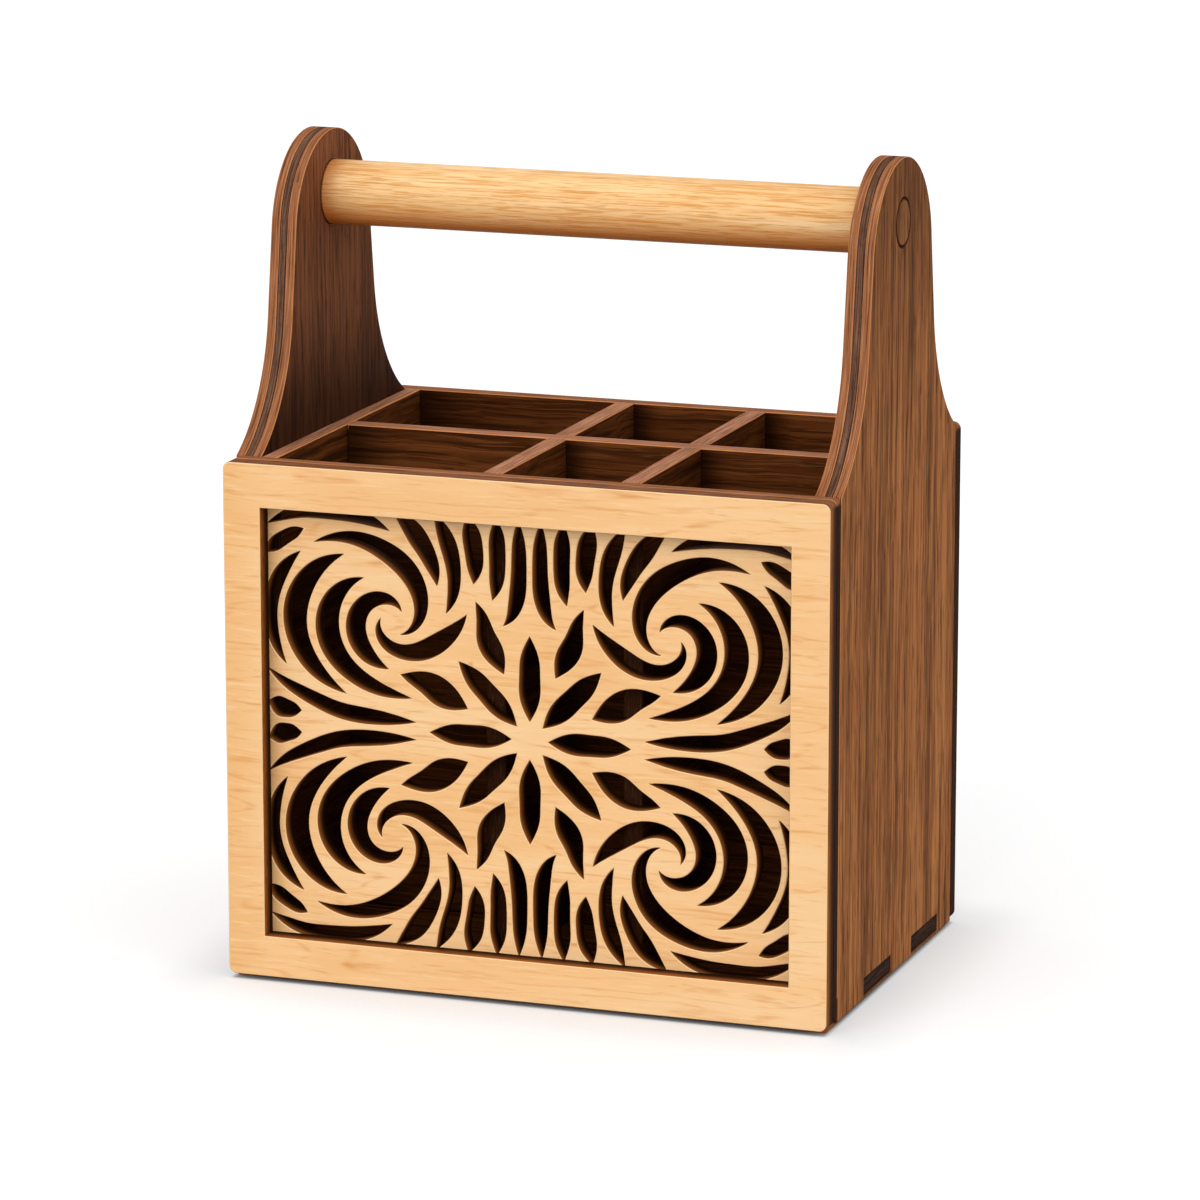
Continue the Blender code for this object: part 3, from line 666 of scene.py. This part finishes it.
def core_finish(name, across, along, seed):
    """Grey-brown core ply with light and dark lines along its edge."""
    finish = Finish(name)
    streaks = finish.grain(CORE_STREAKS, along, seed)
    plies = finish.edge_grain(across, "core layers", seed + 1)
    specks = finish.specks(CORE_SPECKS)
    colour = finish.layered(
        "core",
        ("core_dark", plies.between(0.46, 0.60) * 0.9),
        ("core_light", plies.between(0.46, 0.34) * 0.6),
        ("core_dark", streaks.between(0.52, 0.75) * 0.4),
        ("core_dark", specks.between(0.52, 0.75) * 0.4),
    )
    height = plies + specks * 0.5
    return finish.shade(colour, 0.60 + 0.15 * specks, height, OPEN_GRAIN, Specular_IOR_Level=0.01)


def oak_finish(name, seed):
    """Pale dowel with fine orange streaks, and painted shade underneath and beside its seats."""
    finish = Finish(name)
    bands, streaks, pores = finish.grains(OAK_GRAIN, X, seed, finish.bend(*OAK_BEND))
    dashes = pores.between(0.54, 0.63)
    low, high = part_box("handle_dowel")
    underside_shade = finish.part(Z).between(low.z + (high.z - low.z) * SHADED_UNDERSIDE, low.z)
    seat = high.x - SEAT_DEPTH
    reach = abs(finish.part(X))
    colour = finish.layered(
        "oak",
        ("oak_pale", bands.between(0.46, 0.62)),
        ("oak_streak", streaks.between(0.53, 0.62) * 0.62),
        ("oak_pale", streaks.between(0.45, 0.30) * 0.6),
        ("oak_streak", dashes * 0.66),
        # painted shade underneath and beside the seats
        ("oak_painted_shade", underside_shade * 0.95),
        ("oak_painted_shade", reach.between(seat - SEAT_SHADE, seat) * 0.60),
        ("deep_scorch_and_shade", reach.between(seat - SEAT_LINE, seat) * 0.90),
    )
    height = dashes * -1.0 + streaks * -0.4
    return finish.shade(colour, 0.40 + 0.18 * streaks, height, FINE_GRAIN, Specular_IOR_Level=0.15)


def steel_finish(name, seed):
    """Plated steel with fine turning marks."""
    finish = Finish(name)
    marks = finish.edge_grain(X, "turning marks", seed)
    colour = finish.mix("steel", "steel_dark", marks.between(0.5, 0.7) * 0.4)
    return finish.shade(colour, 0.28 + 0.2 * marks, marks, POLISHED, Metallic=1.0)


def glue_finish(name):
    """Dark glue with small bubbles."""
    finish = Finish(name)
    specks = finish.specks(GLUE_BUBBLES)
    colour = finish.mix("glue", "core_dark", specks.between(0.5, 0.8) * 0.5)
    return finish.shade(colour, 0.5 + 0.2 * specks, specks, POLISHED)


def board_finish(node):
    """The finish of one flat board."""
    across, along, wood = BOARDS[node]
    seed = seed_of(BOARD_SEEDS, sorted(BOARDS).index(node))
    if wood == "maple":
        return maple_finish(node, across, along, seed)
    if wood == "end_grain":
        return end_finish(node, across, seed, ("tab", "tab_dark"), ("inside_light", "inside_dark"))
    if wood == "ply_core":
        return core_finish(node, across, along, seed)
    if wood == "walnut_interior":
        return walnut_finish(node, across, along, seed, INSIDE_TONES)
    if node.startswith("side_inner"):
        return walnut_finish(node, across, along, seed, INNER_TONES, SIDE_COARSENESS)
    if node.startswith("side_outer"):
        ring = round_size(node.replace("side_outer", "handle_plug"))
        return walnut_finish(node, across, along, seed, WALNUT_TONES, SIDE_COARSENESS, ring=ring)
    low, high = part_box(node)
    middle = (low[across] + high[across]) / 2
    panel = (middle, -math.copysign(1.0, middle))
    return walnut_finish(node, across, along, seed, WALNUT_TONES, panel=panel)


def new_object(name, data):
    """An object in the scene, unturned and at the origin."""
    item = bpy.data.objects.new(name, data)
    bpy.context.scene.collection.objects.link(item)
    return item


def node_outlines(node, across):
    """The closed outlines of a flat CAD board as complex numbers, with the wood on their left."""
    work = bmesh.new()
    work.from_mesh(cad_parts[node].data)
    bmesh.ops.remove_doubles(work, verts=work.verts, dist=SAME_PLACE)
    heights = sorted(vertex.co[across] for vertex in work.verts)
    levels = [heights[0]]
    for height in heights:
        if height > levels[-1] + SAME_LEVEL:
            levels.append(height)
    level = levels[1] if len(levels) > 2 else levels[0]
    beside = {}
    for edge in work.edges:
        at_level = all(abs(vertex.co[across] - level) < SAME_LEVEL for vertex in edge.verts)
        if at_level and any(abs(face.normal[across]) < WALL_NORMAL for face in edge.link_faces):
            for vertex in edge.verts:
                beside.setdefault(vertex, []).append(edge.other_vert(vertex))
    first_axis, second_axis = (axis for axis in (X, Y, Z) if axis != across)
    loops = []
    while beside:
        start = min(beside, key=lambda vertex: vertex.index)
        loop = [start]
        previous, here = start, beside[start][0]
        while here is not start:
            loop.append(here)
            onward = [vertex for vertex in beside[here] if vertex is not previous]
            previous, here = here, onward[0]
        for vertex in loop:
            del beside[vertex]
        loops.append(np.array([complex(v.co[first_axis], v.co[second_axis]) for v in loop]))
    work.free()
    loops.sort(key=lambda loop: -abs(enclosed_area(loop)))
    return [loop if (enclosed_area(loop) > 0) == (loop is loops[0]) else loop[::-1] for loop in loops]


def enclosed_area(loop):
    """Area inside a closed loop, positive where it runs counter-clockwise."""
    return float(np.sum((np.conj(loop) * np.roll(loop, -1)).imag) / 2)


def with_finer_curves(points, finest_turn):
    """More points along the curved stretches of a closed outline; corners and straights stay."""
    sides = np.roll(points, -1) - points
    lengths = np.abs(sides)
    headings = sides / lengths
    before = np.roll(headings, 1)
    before_length = np.roll(lengths, 1)
    corner = np.abs(np.angle(headings / before)) > CORNER_TURN
    tangents = before * lengths + headings * before_length
    tangents = tangents / np.abs(tangents)
    tangents = np.where(before_length > STRAIGHT_RATIO * lengths, before, tangents)
    tangents = np.where(lengths > STRAIGHT_RATIO * before_length, headings, tangents)
    finer = []
    for index, heading in enumerate(headings):
        after = (index + 1) % len(points)
        start = float(np.angle(tangents[index] / heading))
        end = float(np.angle(tangents[after] / heading))
        if corner[index] and corner[after]:
            start = end = 0.0
        elif corner[index]:
            start = -end
        elif corner[after]:
            end = -start
        pieces = max(1, math.ceil((abs(start) + abs(end)) / finest_turn))
        leaving = sides[index] * np.exp(1j * start)
        arriving = sides[index] * np.exp(1j * end)
        for share in np.arange(pieces) / pieces:
            rest = 1 - share
            place = points[index] * (1 + 2 * share) * rest ** 2
            place += points[after] * (3 - 2 * share) * share ** 2
            place += leaving * share * rest ** 2 - arriving * share ** 2 * rest
            finer.append(place)
    return np.array(finer)


def into_wood(points):
    """At each point of an outline, how it moves where its sides move one unit into the wood."""
    sides = np.roll(points, -1) - points
    after = 1j * sides / np.abs(sides)
    before = np.roll(after, 1)
    mitre = (before + after) / (1 + (before * np.conj(after)).real)
    return mitre * np.minimum(1.0, LONGEST_MITRE / np.abs(mitre))


def outline_object(name, loops):
    """A mesh of closed outlines in the floor plane, each point with its way into the wood."""
    places, ways, runs, edges = [], [], [], []
    for loop in loops:
        first = len(places)
        places += [(point.real, point.imag, 0.0) for point in loop]
        ways += [(way.real, way.imag, 0.0) for way in into_wood(loop)]
        runs += [0.0, *np.cumsum(np.abs(np.diff(loop)))]
        edges += [(first + index, first + (index + 1) % len(loop)) for index in range(len(loop))]
    mesh = bpy.data.meshes.new(name)
    mesh.from_pydata(places, edges, [])
    attribute = mesh.attributes.new("wood_side", "FLOAT_VECTOR", "POINT")
    attribute.data.foreach_set("vector", np.array(ways, np.float32).ravel())
    attribute = mesh.attributes.new("run", "FLOAT", "POINT")
    attribute.data.foreach_set("value", np.array(runs, np.float32))
    return new_object(name, mesh)


def sawn_board_tree():
    """Geometry nodes that turn closed outlines into one board with eased edges."""
    found = bpy.data.node_groups.get("Sawn board")
    if found:
        return found
    tree = bpy.data.node_groups.new("Sawn board", "GeometryNodeTree")
    kinds = {"Outlines": "Geometry", "Thickness": "Float", "Eased Edge": "Float",
             "Scorched Band": "Float", "Set Back": "Float", "Finish": "Material"}
    for name, kind in kinds.items():
        tree.interface.new_socket(name, in_out="INPUT", socket_type="NodeSocket" + kind)
    tree.interface.new_socket("Board", in_out="OUTPUT", socket_type="NodeSocketGeometry")
    nodes = Nodes(tree)

    def step(kind, settings=None, **sockets):
        """One geometry node, with underscores for the spaces in its sockets' names."""
        named = {name.replace("_", " "): value for name, value in sockets.items()}
        return nodes.add("GeometryNode" + kind, settings, named)

    given = tree.nodes.new("NodeGroupInput")
    inputs = {socket.name: Wire(nodes, socket) for socket in given.outputs if socket.name}
    thickness, eased, set_back = inputs["Thickness"], inputs["Eased Edge"], inputs["Set Back"]
    inner = set_back + eased + inputs["Scorched Band"]
    rings = (
        (inner, 0.0, ON_FACE),
        (set_back + eased, 0.0, AT_TURN),
        (set_back, eased, ON_WALL),
        (set_back, thickness - eased, ON_WALL),
        (set_back + eased, thickness, AT_TURN),
        (inner, thickness, ON_FACE),
    )
    vector = {"data_type": "FLOAT_VECTOR"}
    helpers = ("outline_place", "wood_side")
    work = step("StoreNamedAttribute", vector, Geometry=inputs["Outlines"], Name=helpers[0],
                Value=step("InputPosition"))
    outline_place, wood_side = (step("InputNamedAttribute", vector, Name=name) for name in helpers)
    chosen = True
    first_ring = None
    for inset, height, cut in rings:
        if first_ring is not None:
            work = step("ExtrudeMesh", {"mode": "EDGES"}, Mesh=work, Selection=chosen, Offset_Scale=0.0)
            chosen = Wire(nodes, work.socket.node.outputs["Top"])
        rise = nodes.add("ShaderNodeCombineXYZ", None, {"Z": height})
        moved = nodes.add("ShaderNodeVectorMath", {"operation": "SCALE"}, {0: wood_side, "Scale": inset})
        place = nodes.vector("ADD", nodes.vector("ADD", outline_place, moved), rise)
        work = step("SetPosition", Geometry=work, Selection=chosen, Position=place)
        work = step("StoreNamedAttribute", Geometry=work, Selection=chosen, Name="cut", Value=cut)
        first_ring = first_ring or work
    face = step("FillCurve", Curve=step("MeshToCurve", Mesh=first_ring))
    front = step("FlipFaces", Mesh=face)
    lift = nodes.add("ShaderNodeCombineXYZ", None, {"Z": thickness})
    rear = step("SetPosition", Geometry=face, Offset=lift)
    join = tree.nodes.new("GeometryNodeJoinGeometry")
    for piece in (work, front, rear):
        tree.links.new(piece.socket, join.inputs[0])
    board = step("MergeByDistance", Geometry=Wire(nodes, join.outputs[0]), Distance=SAME_PLACE)
    for name in helpers:
        board = step("RemoveAttribute", Geometry=board, Name=name)
    board = step("RealizeInstances", Geometry=board)
    board = step("SetMaterial", Geometry=board, Material=inputs["Finish"])
    result = tree.nodes.new("NodeGroupOutput")
    tree.links.new(board.socket, result.inputs[0])
    return tree


def grown(item, tree, values):
    """Run a node tree on an object, and keep the result as its plain mesh."""
    modifier = item.modifiers.new(tree.name, "NODES")
    modifier.node_group = tree
    for socket in tree.interface.items_tree:
        if socket.in_out == "INPUT" and socket.name in values:
            modifier[socket.identifier] = values[socket.name]
    bpy.context.view_layer.update()
    evaluated = item.evaluated_get(bpy.context.evaluated_depsgraph_get())
    mesh = bpy.data.meshes.new_from_object(evaluated)
    item.modifiers.clear()
    old = item.data
    item.data = mesh
    bpy.data.meshes.remove(old)
    mesh.name = item.name


def closed_and_smooth(item):
    """Point the faces outwards, and stop the script where the piece isn't closed."""
    work = bmesh.new()
    work.from_mesh(item.data)
    bmesh.ops.recalc_face_normals(work, faces=work.faces)
    open_edges = sum(not edge.is_manifold for edge in work.edges)
    work.to_mesh(item.data)
    work.free()
    if open_edges:
        raise RuntimeError(f"{item.name} has {open_edges} open edges")
    item.data.shade_smooth()
    item.data.set_sharp_from_angle(angle=SMOOTH_ANGLE)


def stand_board(item, across, low):
    """Turn a board from the floor plane to where it belongs, with its thickness from low upwards."""
    first_axis, second_axis = (axis for axis in (X, Y, Z) if axis != across)
    matrix = Matrix.Diagonal((0.0, 0.0, 0.0, 1.0))
    matrix[first_axis][0] = 1.0
    matrix[second_axis][1] = 1.0
    matrix[across][2] = 1.0
    matrix[across][3] = low
    item.data.transform(matrix)


def sawn_board(name, node, across, low, thickness, material, eased, band, set_back=0.0):
    """One board sawn to the outlines of a CAD node."""
    sizes = bpy.context.scene.caddy_sizes
    loops = [with_finer_curves(loop, sizes.finest_turn) for loop in node_outlines(node, across)]
    item = outline_object(name, loops)
    grown(item, sawn_board_tree(), {
        "Thickness": thickness, "Eased Edge": eased, "Scorched Band": band,
        "Set Back": set_back, "Finish": material,
    })
    stand_board(item, across, low)
    closed_and_smooth(item)
    return item


def replace_boards(nodes, edge="eased_edge"):
    """Put a finely sawn board in the place of each of these flat CAD nodes."""
    sizes = bpy.context.scene.caddy_sizes
    for node in nodes:
        across, _, wood = BOARDS[node]
        low, high = (corner[across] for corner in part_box(node))
        item = sawn_board(node + "_sawn", node, across, low, high - low, board_finish(node),
                          getattr(sizes, edge), sizes.scorched_band)
        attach(item, BODY)
        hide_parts(node)


def turned_piece(name, profile, centre, material):
    """A closed piece turned about an axis along X, from places along it, their radius and cut."""
    sides = bpy.context.scene.caddy_sizes.round_sides
    work = bmesh.new()
    layer = work.verts.layers.float.new("cut")
    rings = []
    for along, radius, cut in profile:
        ring = []
        for index in range(sides if radius else 1):
            angle = math.tau * index / sides
            place = (along, centre.y + radius * math.cos(angle), centre.z + radius * math.sin(angle))
            vertex = work.verts.new(place)
            vertex[layer] = cut
            ring.append(vertex)
        rings.append(ring)
    for near, far in zip(rings, rings[1:]):
        for index in range(sides):
            after = (index + 1) % sides
            corners = [near[index % len(near)], near[after % len(near)],
                       far[after % len(far)], far[index % len(far)]]
            work.faces.new(list(dict.fromkeys(corners)))
    mesh = bpy.data.meshes.new(name)
    work.to_mesh(mesh)
    work.free()
    mesh.materials.append(material)
    item = new_object(name, mesh)
    closed_and_smooth(item)
    return item


def carried_node(node, material):
    """Give a CAD node that stays as it is a better finish."""
    for material_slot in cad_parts[node].material_slots:
        material_slot.material = material


class CADDY_OT_saw_fretwork(bpy.types.Operator):
    """Saw the pierced floral panel with smooth voids"""

    bl_idname = "caddy.saw_fretwork"
    bl_label = "Saw fretwork"

    def execute(self, context):
        replace_boards(("fretwork_panel",), "fretwork_edge")
        return {"FINISHED"}


class CADDY_OT_saw_front(bpy.types.Operator):
    """Saw the pale face frame and the wall behind it"""

    bl_idname = "caddy.saw_front"
    bl_label = "Saw front"

    def execute(self, context):
        replace_boards(("front_frame", "front_wall"))
        return {"FINISHED"}


class CADDY_OT_laminate_sides(bpy.types.Operator):
    """Saw the three plies of each side, and put glue lines between them"""

    bl_idname = "caddy.laminate_sides"
    bl_label = "Laminate sides"

    def execute(self, context):
        sizes = context.scene.caddy_sizes
        glue = glue_finish("glue")
        for side in SIDES:
            replace_boards([f"side_{ply}_{side}" for ply in ("outer", "core", "inner")], "ply_edge")
            for ply in ("outer", "inner"):
                node, core = f"side_{ply}_{side}", f"side_core_{side}"
                first, second = sorted((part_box(node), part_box(core)), key=lambda box: box[0].x)
                low = first[1].x + sizes.glue_clearance
                thickness = second[0].x - sizes.glue_clearance - low
                eased = thickness / 4
                name = f"glue_line_{ply}_{side}"
                item = sawn_board(name, node, X, low, thickness, glue, eased, 0.0, sizes.glue_set_back)
                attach(item, BODY)
        return {"FINISHED"}


class CADDY_OT_saw_box(bpy.types.Operator):
    """Saw the back and bottom panels"""

    bl_idname = "caddy.saw_box"
    bl_label = "Saw box"

    def execute(self, context):
        replace_boards(("back_panel", "bottom_panel"))
        return {"FINISHED"}


class CADDY_OT_saw_dividers(bpy.types.Operator):
    """Saw the dividers and the liner"""

    bl_idname = "caddy.saw_dividers"
    bl_label = "Saw dividers"

    def execute(self, context):
        replace_boards(("row_divider", "cross_divider_1", "cross_divider_2", "end_liner"))
        return {"FINISHED"}


class CADDY_OT_turn_handle(bpy.types.Operator):
    """Turn the dowel and the plugs that hide its screws"""

    bl_idname = "caddy.turn_handle"
    bl_label = "Turn handle"

    def execute(self, context):
        sizes = context.scene.caddy_sizes
        eased = sizes.eased_edge
        screws = [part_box(f"handle_screw_{side}") for side in SIDES]
        bore = max(box[1].z - box[0].z for box in screws) * SHANK_RADIUS + eased
        tip = max(min(abs(box[0].x), abs(box[1].x)) for box in screws) - eased
        low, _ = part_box("handle_dowel")
        centre, radius = round_size("handle_dowel")
        left_end = [
            (-tip, 0.0, ON_FACE), (-tip, bore, ON_FACE), (low.x, bore, ON_FACE),
            (low.x, radius - 2 * eased, ON_FACE), (low.x + eased, radius - eased / 2, ON_FACE),
            (low.x + 3 * eased, radius, ON_FACE),
        ]
        profile = left_end + [(-along, spread, cut) for along, spread, cut in reversed(left_end)]
        dowel = turned_piece("handle_dowel_turned", profile, centre, oak_finish("dowel", DOWEL_SEED))
        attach(dowel, BODY)
        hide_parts("handle_dowel")
        steel = steel_finish("screws", SCREW_SEED)
        for number, side in enumerate(SIDES):
            node = f"handle_plug_{side}"
            centre, radius = round_size(node)
            inner, outer = sorted((corner.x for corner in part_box(node)), key=abs)
            step = math.copysign(eased, outer)
            profile = [
                (inner, 0.0, ON_FACE), (inner, radius, ON_WALL), (outer - step, radius, ON_WALL),
                (outer, radius - eased, AT_TURN), (outer, radius - eased - sizes.scorched_band, ON_FACE),
                (outer, 0.0, ON_FACE),
            ]
            wood = walnut_finish(node, X, Z, seed_of(PLUG_SEEDS, number), WALNUT_TONES, SIDE_COARSENESS,
                                 ring=(centre, radius))
            plug = turned_piece(node + "_turned", profile, centre, wood)
            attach(plug, BODY)
            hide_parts(node)
            carried_node(f"handle_screw_{side}", steel)
        return {"FINISHED"}


class CADDY_OT_finish_feet(bpy.types.Operator):
    """Finish the four low feet"""

    bl_idname = "caddy.finish_feet"
    bl_label = "Finish feet"

    def execute(self, context):
        for number, node in enumerate(FEET):
            carried_node(node, end_finish(node, Z, seed_of(FOOT_SEEDS, number), ("walnut", "edge")))
        return {"FINISHED"}


class CADDY_OT_set_stage(bpy.types.Operator):
    """Lay the pale floor, hang the lamps and set the camera"""

    bl_idname = "caddy.set_stage"
    bl_label = "Set stage"

    def execute(self, context):
        stage = context.scene.caddy_stage
        lay_floor()
        hang_lamp("key_lamp", *KEY_LAMP, stage.key_strength)
        hang_lamp("fill_lamp", *FILL_LAMP, stage.fill_strength)
        light_sky(stage.sky_strength)
        set_camera(stage)
        context.scene.view_settings.view_transform = "Standard"
        return {"FINISHED"}


def seen_ray(nodes):
    """1 for a ray that comes straight from the camera, a reflection or clear glass."""
    path = nodes.tree.nodes.new("ShaderNodeLightPath")
    camera, glossy, clear = (Wire(nodes, path.outputs[name]) for name in SEEN_RAYS)
    return camera.larger(glossy).larger(clear)


def away_from_box(finish, inset):
    """How far a place on the floor lies from the box, whose sides are drawn in by the inset."""
    half = [side - inset for side in CAD_BOX[1][:2]]
    beside = finish.vector("SUBTRACT", finish.vector("ABSOLUTE", finish.place), [*half, 0.0])
    return finish.vector("LENGTH", finish.vector("MAXIMUM", beside, (0.0, 0.0, 0.0)), output="Value")


def lay_floor():
    """A plain pale floor that glows white where it is seen, more weakly beside the box as a painted
    shadow, and not under it.
    """
    mesh = bpy.data.meshes.new("floor")
    corners = [(x * FLOOR_REACH, y * FLOOR_REACH, 0.0) for x, y in ((-1, -1), (1, -1), (1, 1), (-1, 1))]
    mesh.from_pydata(corners, [], [(0, 1, 2, 3)])
    finish = Finish("floor")
    seen = seen_ray(finish)
    matt = finish.add("ShaderNodeBsdfDiffuse", None, {"Color": finish.mix(FLOOR_BOUNCE, FLOOR_SEEN, seen)})
    further = away_from_box(finish, 0.0).between(0.0, FLOOR_GLOW_WAY)
    clear = away_from_box(finish, CONTACT_INSET).between(0.0, CONTACT_WAY)
    strength = (FLOOR_GLOW_NEAR + (FLOOR_GLOW - FLOOR_GLOW_NEAR) * further) * clear * seen
    glow = finish.add("ShaderNodeEmission", None, {"Color": WHITE, "Strength": strength})
    finish.add_output(finish.add("ShaderNodeAddShader", None, {0: matt, 1: glow}))
    mesh.materials.append(finish.material)
    floor = new_object("floor", mesh)


def hang_lamp(name, towards, width, strength):
    """A soft lamp, far away in a direction."""
    lamp = bpy.data.lights.new(name, "SUN")
    lamp.energy = strength
    lamp.angle = width
    item = new_object(name, lamp)
    item.rotation_mode = "QUATERNION"
    item.rotation_quaternion = Vector(towards).to_track_quat("Z", "Y")


def light_sky(strength):
    """Even light from all round, and plain white behind the object."""
    world = bpy.data.worlds.new("studio")
    world.use_nodes = True
    bpy.context.scene.world = world
    nodes = Nodes(world.node_tree)
    nodes.tree.nodes.clear()
    level = strength + (1.0 - strength) * seen_ray(nodes)
    sky = nodes.add("ShaderNodeBackground", None, {"Color": WHITE, "Strength": level})
    result = nodes.tree.nodes.new("ShaderNodeOutputWorld")
    nodes.tree.links.new(sky.socket, result.inputs["Surface"])


def set_camera(stage):
    """The camera at the photograph's viewing angle."""
    level = math.cos(stage.lift)
    away = Vector((math.sin(stage.turn) * level, -math.cos(stage.turn) * level, math.sin(stage.lift)))
    lens = bpy.data.cameras.new("camera")
    lens.lens = stage.lens
    camera = new_object("camera", lens)
    camera.location = Vector(AIM) + away * stage.distance
    camera.rotation_mode = "QUATERNION"
    camera.rotation_quaternion = away.to_track_quat("Z", "Y")
    bpy.context.scene.camera = camera


OPERATORS = (
    CADDY_OT_saw_fretwork, CADDY_OT_saw_front, CADDY_OT_laminate_sides, CADDY_OT_saw_box,
    CADDY_OT_saw_dividers, CADDY_OT_turn_handle, CADDY_OT_finish_feet, CADDY_OT_set_stage,
)


class CADDY_PT_sidebar(bpy.types.Panel):
    """Sizes, colours and steps of the caddy"""

    bl_idname = "CADDY_PT_sidebar"
    bl_label = "Wooden Organizer Caddy"
    bl_space_type = "VIEW_3D"
    bl_region_type = "UI"
    bl_category = "Caddy"

    def draw(self, context):
        layout = self.layout
        for group in (context.scene.caddy_sizes, context.scene.caddy_colours, context.scene.caddy_stage):
            box = layout.box()
            for name in group.__annotations__:
                box.prop(group, name)
        for operator in OPERATORS:
            layout.operator(operator.bl_idname)


GROUPS = {"caddy_sizes": CaddySizes, "caddy_colours": CaddyColours, "caddy_stage": CaddyStage}
CLASSES = (*GROUPS.values(), *OPERATORS, CADDY_PT_sidebar)


def register():
    """Add the caddy's classes to Blender."""
    for item in CLASSES:
        bpy.utils.register_class(item)
    for name, group in GROUPS.items():
        setattr(bpy.types.Scene, name, PointerProperty(type=group))


def unregister():
    """Take them out again."""
    for name in GROUPS:
        delattr(bpy.types.Scene, name)
    for item in reversed(CLASSES):
        bpy.utils.unregister_class(item)


def main():
    """Make every piece in turn."""
    register()
    bpy.ops.caddy.saw_fretwork()
    bpy.ops.caddy.saw_front()
    bpy.ops.caddy.laminate_sides()
    bpy.ops.caddy.saw_box()
    bpy.ops.caddy.saw_dividers()
    bpy.ops.caddy.turn_handle()
    bpy.ops.caddy.finish_feet()
    bpy.ops.caddy.set_stage()


if __name__ == "__main__":
    main()
